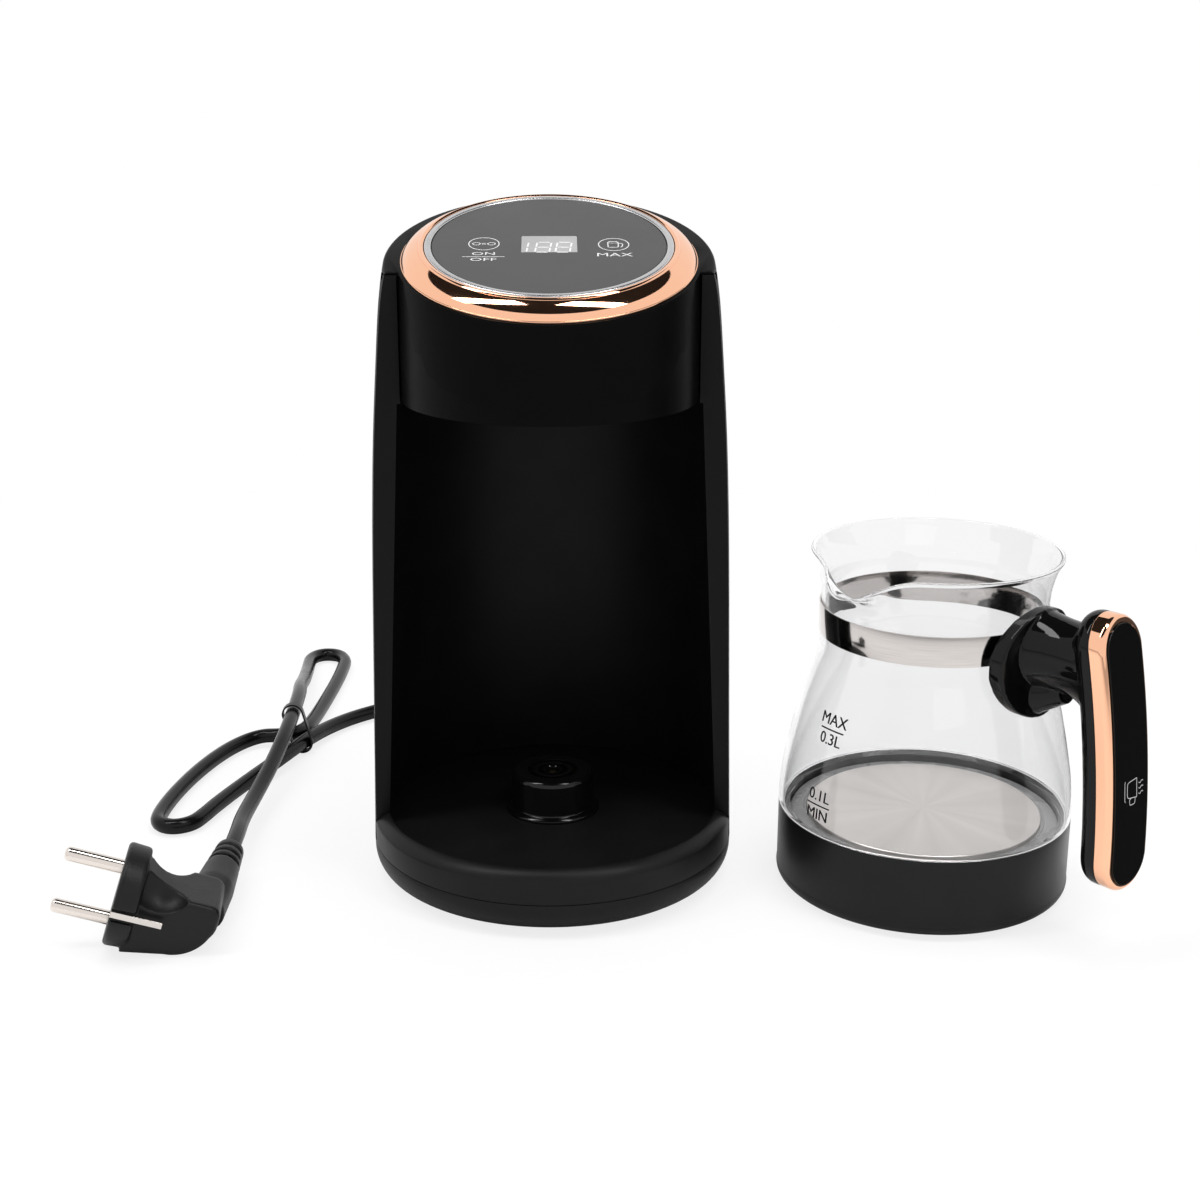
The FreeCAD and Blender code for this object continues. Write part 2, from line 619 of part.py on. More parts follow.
def head_ceiling():
    """Plate that closes the head from below, over the bay."""
    bottom = BAY_TOP + 2.5
    top = bottom + CEILING_THICKNESS
    front = disc(HEAD_RADIUS - WALL - 1.1, bottom + 0.5, top, 0, HEAD_CENTRE_Y).common(front_of(0))
    back = disc(bay_radius(BAY_TOP) + BAY_WALL - 0.4, bottom, top).common(behind(DRUM_BACK_Y + SEAM_GAP))
    solid = together(front, back)
    slot = block(-WEB_HALF - 0.4, WEB_HALF + 4.2, -20, WEB_BACK_Y + SEAM_GAP, 0, 400)
    right = moved_along_x(slot, WEB_X)
    slots = [right, right.mirror(Vector(0, 0, 0), X_AXIS)]
    return solid.cut([disc(6.2, 0, 400), block(-12, 12, 42, 50, 0, 400)] + slots)


def steam_sensor():
    """Optical head that looks down into the carafe's mouth."""
    seat = BAY_TOP + 2.5 + CEILING_THICKNESS
    body = turned((0, HEAD_BOTTOM + 0.4), (5.0, HEAD_BOTTOM + 0.4), (6.0, HEAD_BOTTOM + 1.4), (6.0, seat),
                  (8.6, seat), (8.6, seat + 1.6), (5.6, seat + 1.6), (5.6, seat + 9), (0, seat + 9))
    return body.cut(disc(3.6, HEAD_BOTTOM, HEAD_BOTTOM + 1.6))


def silver_rim():
    """Bright ring round the panel, with the ledge that the panel lies on."""
    ledge_top = -PANEL_DROP - PANEL_THICKNESS - 0.1
    return on_panel(turned((RIM_INNER, ledge_top), (RIM_INNER, -0.5),
                           ((RIM_INNER + 0.15, -0.15), (RIM_INNER + 0.5, 0)),
                           (RIM_OUTER - 0.6, 0), ((RIM_OUTER - 0.18, -0.18), (RIM_OUTER, -0.6)),
                           (RIM_OUTER, -RIM_HEIGHT), (RIM_OUTER - 2.0, -RIM_HEIGHT),
                           (RIM_OUTER - 2.0, ledge_top - 1.8), (RIM_LEDGE, ledge_top - 1.8),
                           (RIM_LEDGE, ledge_top)))


def rose_ring():
    """Plated ring that slopes from the rim down to the cover, with its clamping skirt."""
    inner = RIM_OUTER + FIT_GAP
    seat = -COVER_DEPTH + 0.1
    section = turned((inner, -0.3), ((inner + 0.9, 0.1), (inner + 1.9, -0.35)),
                     ((inner + 5.4, -2.35), (RING_OUTER - 0.5, -RING_DROP + 0.2)),
                     ((RING_OUTER - 0.05, -RING_DROP - 0.1), (RING_OUTER, -RING_DROP - 0.5)),
                     (RING_OUTER, seat), (RING_SKIRT_OUTER, seat), (RING_SKIRT_OUTER, -RING_SKIRT_DEPTH),
                     (RING_SKIRT_INNER, -RING_SKIRT_DEPTH), (RING_SKIRT_INNER, -RIM_HEIGHT + 1),
                     (inner, -RIM_HEIGHT + 1))
    middle = (RING_SKIRT_INNER + RING_SKIRT_OUTER) / 2
    holes = [disc(PANEL_SCREW + SCREW_GAP, -RING_SKIRT_DEPTH - 1, -RING_SKIRT_DEPTH + 3.4, x, y)
             for x, y in around(4, middle, 45)]
    return on_panel(section.cut(holes))


def control_panel():
    """Touch surface with the opening for the display window."""
    top = -PANEL_DROP
    face = turned((0, top - PANEL_THICKNESS), (RIM_INNER - FIT_GAP, top - PANEL_THICKNESS),
                  (RIM_INNER - FIT_GAP, top - 0.3), (RIM_INNER - FIT_GAP - 0.3, top), (0, top))
    window = block(-WINDOW_WIDTH / 2, WINDOW_WIDTH / 2, -WINDOW_HEIGHT / 2, WINDOW_HEIGHT / 2, -9, 9)
    return on_panel(face.cut(window))


def display_window():
    half_w = WINDOW_WIDTH / 2 - SCREW_GAP
    half_h = WINDOW_HEIGHT / 2 - SCREW_GAP
    return on_panel(block(-half_w, half_w, -half_h, half_h, -PANEL_DROP - PANEL_THICKNESS, -PANEL_DROP))


def panel_carrier():
    """Plate under the cover that clamps the plated ring and carries the control board."""
    top = -RING_SKIRT_DEPTH - 0.1
    bottom = top - CARRIER_THICKNESS
    plate = ring(HEAD_RADIUS - WALL - 0.8, CARRIER_OPENING, bottom, top)
    upstand = ring(HEAD_RADIUS - WALL - 0.8, COVER_OPENING + 0.3, bottom, -COVER_DEPTH - WALL - 0.1)
    rim_seat = ring(RIM_OUTER, RIM_OUTER - 2.0, bottom, -RIM_HEIGHT - 0.1)
    posts = [disc(BOARD_POST_RADIUS, -BOARD_DEPTH + 0.1, bottom + 0.5, x, y)
             for x, y in around(4, CARRIER_OPENING + 0.8, 45)]
    solid = together(plate, upstand, rim_seat, *posts)
    middle = (RING_SKIRT_INNER + RING_SKIRT_OUTER) / 2
    cuts = [disc(PANEL_SCREW + FIT_GAP, -60, 0, x, y) for x, y in around(4, middle, 45)]
    cuts += [disc(PANEL_SCREW + SCREW_GAP, -BOARD_DEPTH - 1, top - 0.4, x, y)
             for x, y in around(4, CARRIER_OPENING + 0.8, 45)]
    return on_panel(solid.cut(cuts))


def carrier_screws():
    middle = (RING_SKIRT_INNER + RING_SKIRT_OUTER) / 2
    seat = -RING_SKIRT_DEPTH - 0.1 - CARRIER_THICKNESS
    screws = [screw(x, y, seat, 4.6, 1.9, PANEL_SCREW, 1.3) for x, y in around(4, middle, 45)]
    return on_panel(group(*screws))


def control_board():
    board = disc(BOARD_RADIUS, -BOARD_DEPTH - BOARD_THICKNESS, -BOARD_DEPTH)
    holes = [disc(PANEL_SCREW + FIT_GAP, -60, 0, x, y) for x, y in around(4, CARRIER_OPENING + 0.8, 45)]
    return on_panel(board.cut(holes))


def board_screws():
    seat = -BOARD_DEPTH - BOARD_THICKNESS
    screws = [screw(x, y, seat, 4.4, 1.9, PANEL_SCREW, 1.3) for x, y in around(4, CARRIER_OPENING + 0.8, 45)]
    return on_panel(group(*screws))


def display_module():
    top = -PANEL_DROP - PANEL_THICKNESS - 0.3
    return on_panel(block(-WINDOW_WIDTH / 2 - 1, WINDOW_WIDTH / 2 + 1, -WINDOW_HEIGHT / 2 - 1,
                          WINDOW_HEIGHT / 2 + 1, -BOARD_DEPTH, top))


def touch_springs():
    """Two sleeves that carry the touch keys' signal from the panel to the board."""
    top = -PANEL_DROP - PANEL_THICKNESS
    springs = [ring(5.0, 4.0, -BOARD_DEPTH, top, side * TOUCH_KEY_X, 0) for side in (-1, 1)]
    return on_panel(group(*springs))


def buzzer():
    top = -BOARD_DEPTH - BOARD_THICKNESS
    body = disc(6.0, top - 7.0, top, 14, -16).cut(disc(1.0, top - 8, top - 5.5, 14, -16))
    return on_panel(body)


# -------------------------------------------------------------------- power electrics
def power_board_y():
    return bay_radius(POWER_BOARD_BOTTOM) + BAY_WALL + POWER_BOARD_STANDOFF


def power_board_screw_places():
    return [(x, z) for x in (-11.0, 11.0) for z in (POWER_BOARD_BOTTOM + 6, POWER_BOARD_TOP - 6)]


def power_board():
    y = power_board_y()
    half = POWER_BOARD_WIDTH / 2
    board = block(-half, half, y, y + 1.6, POWER_BOARD_BOTTOM, POWER_BOARD_TOP)
    holes = [rod(CASE_SCREW + FIT_GAP, Vector(x, y - 1, z), Vector(x, y + 3, z))
             for x, z in power_board_screw_places()]
    return board.cut(holes)


def power_board_screws():
    """Screws through the board into the liner's bosses."""
    seat = power_board_y() + 1.6
    screws = []
    for x, z in power_board_screw_places():
        piece = screw(0, 0, 0, 6.0)
        piece.rotate(Vector(0, 0, 0), X_AXIS, 90)
        piece.translate(Vector(x, seat, z))
        screws.append(piece)
    return group(*screws)


def power_relay():
    y = power_board_y() + 1.6
    return rounded(block(-8, 8, y, y + 11.0, 84, 103), 0.8, lambda e: e.BoundBox.YMin > y + 0.1)


def supply_transformer():
    """Small wound transformer of the control supply: core, bobbin and winding."""
    y = power_board_y() + 1.6
    core = block(-8, 8, y, y + 3.0, 112, 134).fuse(block(-8, 8, y + 8.5, y + 11.5, 112, 134))
    legs = block(-8, 8, y, y + 11.5, 112, 115).fuse(block(-8, 8, y, y + 11.5, 131, 134))
    winding = block(-9.5, 9.5, y + 3.0, y + 8.5, 115, 131)
    return together(core, legs, winding)


def filter_capacitor():
    y = power_board_y() + 1.6
    return rod(4.6, Vector(16.5, y + 4.6, 88), Vector(16.5, y + 4.6, 104))


def heat_sink_triac():
    """Power switch with its folded aluminium cooler."""
    y = power_board_y() + 1.6
    back = block(-24, -22.4, y, y + 7.0, 84, 108)
    web = block(-24, -14.5, y, y + 1.4, 84, 108)
    return together(back, web)


def control_harness():
    """Cable from the control board down to the power board."""
    rise = 22 * math.tan(math.radians(PANEL_TILT))
    start = panel_point(BOARD_DEPTH + BOARD_THICKNESS) + Vector(0, 22, rise)
    y = power_board_y() + 4.0
    points = [tuple(start), (0, start.y + 2, start.z - 16), (0, y - 9, start.z - 26), (2, y, start.z - 42),
              (3, y, POWER_BOARD_TOP - 4)]
    return tube(points, WIRE_RADIUS, 0.4)[0]


def dock_harness():
    """Leads from the power board through the deck to the dock's terminals."""
    y = power_board_y() + 4.0
    foot = PEDESTAL_STEM_BOTTOM - 1.6
    solids = []
    for x, end_x in ((-6.0, -6.5), (6.0, 6.5)):
        points = [(x, y, POWER_BOARD_BOTTOM + 2), (x, y + 2.5, 44), (x, bay_radius(DECK_TOP) + 9.5, 30),
                  (x, bay_radius(DECK_TOP) + 8, 16), (x * 1.3, 46, foot),
                  (end_x, 16, foot), (end_x, 0.4, foot)]
        solids.append(tube(points, WIRE_RADIUS * 0.8, 0.4)[0])
    return group(*solids)


def terminal_y():
    return bay_radius(DECK_TOP) + BAY_WALL + 1.0


def terminal_block():
    """Screw terminals where the lead's cores meet the board's leads."""
    near = terminal_y()
    body = block(TERMINAL_X[0] - 3, TERMINAL_X[-1] + 3, near, near + TERMINAL_DEPTH, DECK_TOP, DECK_TOP + 11)
    bores = [rod(1.5, Vector(x, near - 1, DECK_TOP + 6), Vector(x, near + TERMINAL_DEPTH - 1, DECK_TOP + 6))
             for x in TERMINAL_X]
    return body.cut(bores)


# -------------------------------------------------------------------------- mains lead
def case_back_y():
    """Outer face of the casing at the lead's outlet."""
    level = Part.makeLine(Vector(OUTLET_X, 0, OUTLET_Z), Vector(OUTLET_X, 300, OUTLET_Z))
    return level.common(case_form()).BoundBox.YMax


def gland_tip_y():
    return case_back_y() + GLAND_LENGTH


def cord_route():
    """Points of the lead, from the tip of its gland to the plug's strain relief."""
    reach = (RELIEF_TIP - RELIEF_ROOT).Length + 11.5
    return [
        (OUTLET_X, gland_tip_y(), OUTLET_Z), (OUTLET_X, gland_tip_y() + 18, OUTLET_Z), (-7.5, 147.5, 24.0),
        (-25.0, 158.0, 15.5), (-46.0, 158.0, 8.0), (-66.0, 151.5, 4.0), (-83.5, 141.5, 3.1),
        (-95.0, 127.0, 3.5), (-103.0, 108.0, 4.9), (-112.6, 85.0, 4.4), (-123.6, 62.0, 3.1),
        (-130.0, 44.5, 3.1), (-132.9, 34.6, 3.1), (-136.0, 26.6, 3.1), (-143.1, 23.2, 3.1),
        (-149.6, 27.6, 3.1), (-150.0, 38.5, 3.1), (-147.8, 57.0, 3.1), (-143.0, 79.0, 3.1),
        (-136.5, 98.5, 3.1), (-129.5, 110.5, 3.3), (-122.2, 114.8, 4.2), (-114.8, 112.8, 4.9),
        (-108.2, 115.6, 4.7), (-104.8, 123.8, 4.0), (-102.8, 140.0, 3.1), (-100.2, 165.0, 3.1),
        (-99.2, 187.0, 3.1), (-99.4, 204.0, 3.1), (-99.8, 214.0, 3.1), (-104.0, 222.5, 3.1),
        (-112.4, 223.5, 3.2), (-117.6, 216.6, 3.4), (-117.4, 204.0, 4.0), (-115.6, 187.0, 6.2),
        (-113.0, 167.0, 10.0), (-110.2, 148.0, 14.4), (-107.9, 128.5, 17.6), (-107.6, 89.0, 17.6),
        (-110.4, 63.0, 12.8), (-113.8, 39.0, 9.4), (-115.6, 17.0, 9.2), tuple(relief_along(reach)),
        tuple(RELIEF_TIP),
    ]


def mains_cord():
    solid, path, radii = tube(cord_route(), CORD_RADIUS)
    section = math.pi * CORD_RADIUS ** 2
    print("cord length", round(path.Length, 1), "radii", [round(r, 1) for r in radii])
    print("cord volume", round(solid.Volume, 1), "section x length", round(section * path.Length, 1))
    return solid


def gland():
    """Moulded strain relief with ribs, and the groove that holds it in the rear shell."""
    back = case_back_y()
    inner_flange = GLAND_FLANGE_RADIUS - 0.6
    steps = [(inner_flange, gland_inner_y()), (inner_flange, back - WALL - 1.2),
             (GLAND_NECK_RADIUS, back - WALL - 1.2), (GLAND_NECK_RADIUS, back + 0.6),
             (GLAND_FLANGE_RADIUS, back + 0.6), (GLAND_FLANGE_RADIUS, back + 2.0)]
    pitch = (GLAND_LENGTH - 4.0) / GLAND_RIBS
    for i in range(GLAND_RIBS):
        near = back + 2.4 + i * pitch
        outer = GLAND_RADIUS + (GLAND_TIP_RADIUS - GLAND_RADIUS) * (i + 0.5) / GLAND_RIBS
        steps += [(outer - 0.7, near), (outer, near + 0.5), (outer - 0.1, near + pitch - 1.4),
                  (outer - 0.8, near + pitch - 0.9)]
    steps += [(GLAND_TIP_RADIUS, gland_tip_y() - 0.6), (GLAND_TIP_RADIUS, gland_tip_y()),
              (0, gland_tip_y())]
    body = turned((0, gland_inner_y()), *steps)
    body.rotate(Vector(0, 0, 0), X_AXIS, -90)
    body.translate(Vector(OUTLET_X, 0, OUTLET_Z))
    return body


def gland_inner_y():
    return case_back_y() - WALL - 3.4


def supply_cores():
    """Insulated cores of the lead, from the gland to the terminal block."""
    start = gland_inner_y()
    end = terminal_y() + TERMINAL_DEPTH
    cores = []
    for i, x in enumerate(TERMINAL_X):
        level = OUTLET_Z + (i - 1) * 2.8
        points = [(OUTLET_X, start, level), (OUTLET_X, start - 4.5, level), (x - 2, end + 6.0, level),
                  (x, end + 3.5, DECK_TOP + 6), (x, end, DECK_TOP + 6)]
        cores.append(tube(points, CORE_RADIUS, 0.4)[0])
    return group(*cores)


# --------------------------------------------------------------------------------- plug
def plug_axes():
    """Unit vectors of the plug: along its pins, across them, and from pin to pin."""
    pins = Vector(PLUG_PIN_AXIS).normalize()
    across = pins.cross(UP).normalize()
    if across.y > 0:
        across = across * -1
    spacing = pins.cross(across)
    if spacing.z < 0:
        spacing = spacing * -1
    across = spacing.cross(pins)
    return pins, across, spacing


def lay_plug(shape, height):
    """Take a shape from the plug's own axes (pins +X, pin spacing +Z) to where it lies."""
    pins, across, spacing = plug_axes()
    matrix = FreeCAD.Matrix(pins.x, across.x, spacing.x, PLUG_X, pins.y, across.y, spacing.y, PLUG_Y,
                            pins.z, across.z, spacing.z, height, 0, 0, 0, 1)
    copy = shape.copy()
    copy.Placement = FreeCAD.Placement(matrix).multiply(copy.Placement)
    return copy


def plug_face():
    """Round face of the plug, about its pins' axis."""
    edge = PLUG_FACE_RADIUS
    back = PLUG_FACE_THICKNESS
    face = turned((0, 0), (edge - 1.5, 0), ((edge - 0.4, 0.4), (edge, 1.5)), (edge - 0.3, back - 1.5),
                  ((edge - 0.8, back - 0.4), (edge - 2, back)), (0, back))
    face.rotate(Vector(0, 0, 0), Y_AXIS, -90)
    return face


def plug_grip():
    """Grip behind the face, with a hollow for the thumb on each side."""
    front = -PLUG_FACE_THICKNESS
    rear = -PLUG_DEPTH
    low = PLUG_GRIP_LOW
    side = outline((front + 2, PLUG_GRIP_TOP + 0.2), (front - 1, PLUG_GRIP_TOP),
                   ((front - 6, low + 1.3), (front - 11.5, low + 0.1)), (rear + 4.1, low),
                   ((rear + 1.1, low - 1.1), (rear, low - 4.2)), (rear, low - 7.0),
                   ((rear + 0.4, low - 9.2), (rear + 1.4, low - 11.2)),
                   ((rear + 5.4, low - 17.0), (front - 12, PLUG_BASE_REAR)),
                   (front + 2, PLUG_BASE_FRONT))
    grip = Part.Face(side).extrude(Vector(0, 2 * PLUG_HALF_WIDTH, 0))
    grip.translate(Vector(0, -PLUG_HALF_WIDTH, 0))
    grip = rounded(grip, PLUG_ROUNDING, lambda e: abs(abs(e.CenterOfMass.y) - PLUG_HALF_WIDTH) < 0.01
                   and e.CenterOfMass.x < front + 1)
    near = THUMB_CENTRE
    far = Vector(near.x, -near.y, near.z)
    return grip.cut([Part.makeSphere(THUMB_RADIUS, near), Part.makeSphere(THUMB_RADIUS, far)])


def plug_moulding():
    """Face and grip, in the plug's own axes."""
    grooves = [block(-EARTH_STRIP_LENGTH, 1, side - EARTH_STRIP_SEAT, side + EARTH_STRIP_SEAT,
                     -EARTH_STRIP_WIDTH / 2, EARTH_STRIP_WIDTH / 2)
               for side in (PLUG_FACE_RADIUS, -PLUG_FACE_RADIUS)]
    sockets = [rod(PIN_SHANK_RADIUS, Vector(-PIN_ROOT, 0, z), Vector(1, 0, z))
               for z in (-PIN_SPACING / 2, PIN_SPACING / 2)]
    return together(plug_face(), plug_grip()).cut(grooves + sockets)


def plug_height():
    """Height of the face's middle when the moulding just rests on the table."""
    return -lay_plug(plug_moulding(), 0).optimalBoundingBox(False).ZMin


def relief_along(distance):
    run = RELIEF_TIP - RELIEF_ROOT
    return RELIEF_ROOT + run.normalize() * distance


def plug_relief():
    """Tapered sleeve with ribs where the lead leaves the plug."""
    length = (RELIEF_TIP - RELIEF_ROOT).Length
    sleeve = turned((0, -RELIEF_BUTT), (RELIEF_ROOT_RADIUS, -RELIEF_BUTT),
                    (RELIEF_ROOT_RADIUS, RELIEF_BUTT), (RELIEF_TIP_RADIUS, length - 1),
                    (RELIEF_TIP_RADIUS - 0.8, length), (0, length))
    slots = []
    for i in range(RELIEF_RIBS):
        level = length - 6.0 - i * RELIEF_RIB_PITCH
        slot = ring(12, CORD_RADIUS + 1.2, level, level + RELIEF_SLOT)
        slots.append(slot.cut([block(-20, 20, -1.4, 1.4, level - 1, level + 3)]))
    sleeve = sleeve.cut(slots)
    direction = RELIEF_TIP - RELIEF_ROOT
    sleeve.Placement = FreeCAD.Placement(RELIEF_ROOT, FreeCAD.Rotation(UP, direction))
    return sleeve


def plug_body():
    return together(lay_plug(plug_moulding(), plug_height()), plug_relief())


def plug_pins():
    pins = []
    for side in (-1, 1):
        pin = turned((0, -PIN_ROOT), (PIN_SHANK_RADIUS, -PIN_ROOT), (PIN_SHANK_RADIUS, 0), (PIN_RADIUS, 0),
                     (PIN_RADIUS, PIN_LENGTH - PIN_TIP),
                     ((PIN_RADIUS * 0.8, PIN_LENGTH - 0.4), (0.6, PIN_LENGTH)), (0, PIN_LENGTH))
        pin.rotate(Vector(0, 0, 0), Y_AXIS, 90)
        pin.translate(Vector(0, 0, side * PIN_SPACING / 2))
        pins.append(pin)
    return lay_plug(group(*pins), plug_height())


def plug_earth_strips():
    """Two side contacts, let into the edge of the face."""
    seat = PLUG_FACE_RADIUS - EARTH_STRIP_SEAT
    half = EARTH_STRIP_WIDTH / 2 - FIT_GAP
    strips = [block(-EARTH_STRIP_LENGTH + FIT_GAP, 0, near, near + EARTH_STRIP_THICKNESS, -half, half)
              for near in (seat, -seat - EARTH_STRIP_THICKNESS)]
    return lay_plug(group(*strips), plug_height())


def belt(first, second, radius, near, far):
    """Prism along Y whose outline wraps two points of the X-Z plane at a radius."""
    run = math.hypot(second[0] - first[0], second[1] - first[1])
    side = (-(second[1] - first[1]) / run * radius, (second[0] - first[0]) / run * radius)
    flank = outline((first[0] + side[0], first[1] + side[1]), (second[0] + side[0], second[1] + side[1]),
                    (second[0] - side[0], second[1] - side[1]), (first[0] - side[0], first[1] - side[1]))
    web = Part.Face(flank).extrude(Vector(0, far - near, 0))
    web.translate(Vector(0, near, 0))
    ends = [rod(radius, Vector(x, near, z), Vector(x, far, z)) for x, z in (first, second)]
    return together(web, *ends)


def cord_tie():
    """Flat tie round the lower and the upper strand of the lead."""
    near, far = TIE_Y - TIE_WIDTH / 2, TIE_Y + TIE_WIDTH / 2
    inner = CORD_RADIUS + TIE_SLACK
    outer = belt(TIE_LOWER, TIE_UPPER, inner + TIE_THICKNESS, near, far)
    return outer.cut(belt(TIE_LOWER, TIE_UPPER, inner, near - 1, far + 1))


# ------------------------------------------------------------------------------ carafe
def place_carafe(shape):
    copy = shape.copy()
    copy.translate(Vector(CARAFE_X, CARAFE_Y, 0))
    return copy


def place_handle(shape):
    return place_carafe(turned_about_z(shape, HANDLE_AZIMUTH))


def glass_arc_centres():
    """Centres and radii of the wall's belly and waist arcs, which touch each other."""
    belly_r = CUP_RADIUS - GLASS_SHOULDER_ARC
    rise = GLASS_NECK_Z - GLASS_SHOULDER_Z
    reach = GLASS_NECK_RADIUS - belly_r
    waist = (reach ** 2 + rise ** 2 - GLASS_SHOULDER_ARC ** 2) / (2 * (GLASS_SHOULDER_ARC - reach))
    return (belly_r, GLASS_SHOULDER_Z), GLASS_SHOULDER_ARC, (GLASS_NECK_RADIUS + waist, GLASS_NECK_Z), waist


def glass_wall_steps(inset):
    """Steps of the wall from the shoulder up to the neck, offset inwards by inset."""
    belly, belly_radius, waist, waist_radius = glass_arc_centres()
    angle = math.atan2(waist[1] - belly[1], waist[0] - belly[0])
    inner = belly_radius - inset
    outer = waist_radius + inset

    def on_belly(a):
        return (belly[0] + inner * math.cos(a), belly[1] + inner * math.sin(a))

    def on_waist(a):
        return (waist[0] - outer * math.cos(a), waist[1] - outer * math.sin(a))

    return [on_belly(0), (on_belly(angle / 2), on_belly(angle)), (on_waist(angle / 2), on_waist(0))]


def flare_radius(height, inset):
    """Radius of the flared mouth at a height."""
    lift = GLASS_RIM_Z - GLASS_FLARE_Z
    spread = GLASS_RIM_RADIUS - GLASS_NECK_RADIUS
    arc = (spread ** 2 + lift ** 2) / (2 * spread)
    rise = height - GLASS_FLARE_Z
    return GLASS_NECK_RADIUS + arc - math.sqrt((arc + inset) ** 2 - rise ** 2)


def spout_bulge(angle, height):
    """How far the pouring lip bulges out of the round mouth."""
    rise = max(height - GLASS_FLARE_Z, 0) / 10.0
    offset = (math.degrees(angle) - SPOUT_AZIMUTH + 180) % 360 - 180
    return SPOUT_REACH * rise ** 1.6 * math.exp(-(offset / SPOUT_SPREAD) ** 2)


def mouth_section(height, inset):
    count = 48
    points = []
    for i in range(count):
        angle = 2 * math.pi * i / count
        radius = flare_radius(height, inset) + spout_bulge(angle, height)
        points.append(Vector(radius * math.cos(angle), radius * math.sin(angle), height))
    curve = Part.BSplineCurve()
    curve.interpolate(points, PeriodicFlag=True)
    return Part.Wire([curve.toShape()])


def mouth_form(inset, top):
    heights = [GLASS_FLARE_Z + (top - GLASS_FLARE_Z) * i / 6 for i in range(1, 7)]
    base = Part.Circle(Vector(0, 0, GLASS_FLARE_Z), UP, GLASS_NECK_RADIUS - inset).toShape()
    return Part.makeLoft([Part.Wire([base])] + [mouth_section(z, inset) for z in heights], True, False)


def carafe_glass():
    """Blown glass with a narrow neck, a flared mouth and a pouring lip."""
    outer = glass_wall_steps(0)
    inner = glass_wall_steps(GLASS_WALL)
    spigot = CUP_RADIUS - CUP_WALL - FIT_GAP
    foot = CUP_TOP - GLASS_SPIGOT
    steps = [(spigot, CUP_TOP + 0.1), (CUP_RADIUS, CUP_TOP + 0.1)] + outer
    steps += [(GLASS_NECK_RADIUS, GLASS_FLARE_Z), (GLASS_NECK_RADIUS - GLASS_WALL, GLASS_FLARE_Z)]
    steps += [inner[2][1], (inner[2][0], inner[1][1]), (inner[1][0], inner[0])]
    steps += [(spigot - GLASS_WALL, CUP_TOP - 1.2), (spigot - GLASS_WALL, foot)]
    body = turned((spigot, foot), *steps)
    mouth = mouth_form(0, GLASS_RIM_Z).cut(mouth_form(GLASS_WALL, GLASS_RIM_Z + 0.001))
    glass = body.fuse(mouth)
    axis = math.radians(SPOUT_AZIMUTH)
    outward = Vector(math.cos(axis), math.sin(axis), 0)
    scoop_radius = 22.0
    level = GLASS_RIM_Z - SPOUT_DIP + scoop_radius
    scoop = rod(scoop_radius, outward * 30 + UP * level, outward * 90 + UP * level)
    return place_carafe(glass.cut(scoop))


def carafe_band():
    """Polished band round the neck, with the threaded block that holds the handle."""
    inner = GLASS_NECK_RADIUS + BAND_GAP
    band = ring(inner + BAND_THICKNESS, inner, BAND_BOTTOM, BAND_TOP)
    nut = block(inner + 0.1, NUT_END, -NUT_HALF, NUT_HALF, NECK_Z - NUT_HALF, NECK_Z + NUT_HALF)
    solid = together(band, nut.cut(disc(inner + 0.1, 0, 200)))
    bore = rod(SCREW_SHANK, Vector(inner + 1.2, 0, NECK_Z), Vector(60, 0, NECK_Z))
    return place_handle(solid.cut(bore))


def heating_plate():
    skirt = PLATE_RADIUS - 0.1
    inner = skirt - 1.5
    bend = (skirt - 0.18, PLATE_TOP - 0.18), (skirt - 0.6, PLATE_TOP)
    return place_carafe(turned((0, PLATE_TOP - 2), (inner, PLATE_TOP - 2), (inner, PLATE_TOP - 8),
                               (skirt, PLATE_TOP - 8), (skirt, PLATE_TOP - 0.6), bend, (0, PLATE_TOP)))


def plate_seal():
    """Silicone ring under and inside the glass, round the heating plate."""
    inner = PLATE_RADIUS - 0.1
    spigot = CUP_RADIUS - CUP_WALL - FIT_GAP
    foot = CUP_TOP - GLASS_SPIGOT
    lip = spigot - GLASS_WALL
    return place_carafe(turned((inner, foot - 2), (spigot, foot - 2), (spigot, foot), (lip, foot),
                               (lip, foot + 2.4), (inner + 1.2, foot + 2.9), (inner, foot + 2.9)))


def carafe_base_cup():
    """Black cup that carries the glass, with a ledge and three screw bosses."""
    inner = CUP_RADIUS - CUP_WALL
    ledge = CUP_TOP - GLASS_SPIGOT - 2
    wall = turned((inner, CARAFE_FOOT), (CUP_FOOT_RADIUS + 0.8, CARAFE_FOOT),
                  ((CUP_RADIUS - 0.45, CARAFE_FOOT + 1.1), (CUP_RADIUS, CARAFE_FOOT + 4.4)),
                  (CUP_RADIUS, CUP_TOP), (inner, CUP_TOP), (inner, ledge), (PLATE_RADIUS + 1.2, ledge),
                  (PLATE_RADIUS + 1.2, ledge - 2), (inner, ledge - 2))
    bosses = [disc(3.2, CARAFE_FOOT + 2, ledge - 1, x, y) for x, y in around(3, CUP_SCREW_CIRCLE, 90)]
    solid = together(wall, *bosses)
    holes = [disc(CASE_SCREW + SCREW_GAP, 0, ledge - 4, x, y) for x, y in around(3, CUP_SCREW_CIRCLE, 90)]
    return place_carafe(solid.cut(holes))


def carafe_base_cover():
    """Underside of the carafe with its foot ring and the opening for the coupling."""
    top = CARAFE_FOOT + 2
    plate = disc(CUP_RADIUS - CUP_WALL - FIT_GAP, CARAFE_FOOT, top)
    foot = ring(40, 37, 0, CARAFE_FOOT + 1)
    opening = disc(COUPLER_RADIUS + COUPLER_WALL + FIT_GAP, -1, 60)
    holes = [disc(CASE_SCREW + FIT_GAP, 0, 60, x, y) for x, y in around(3, CUP_SCREW_CIRCLE, 90)]
    return place_carafe(plate.fuse(foot).cut([opening] + holes))


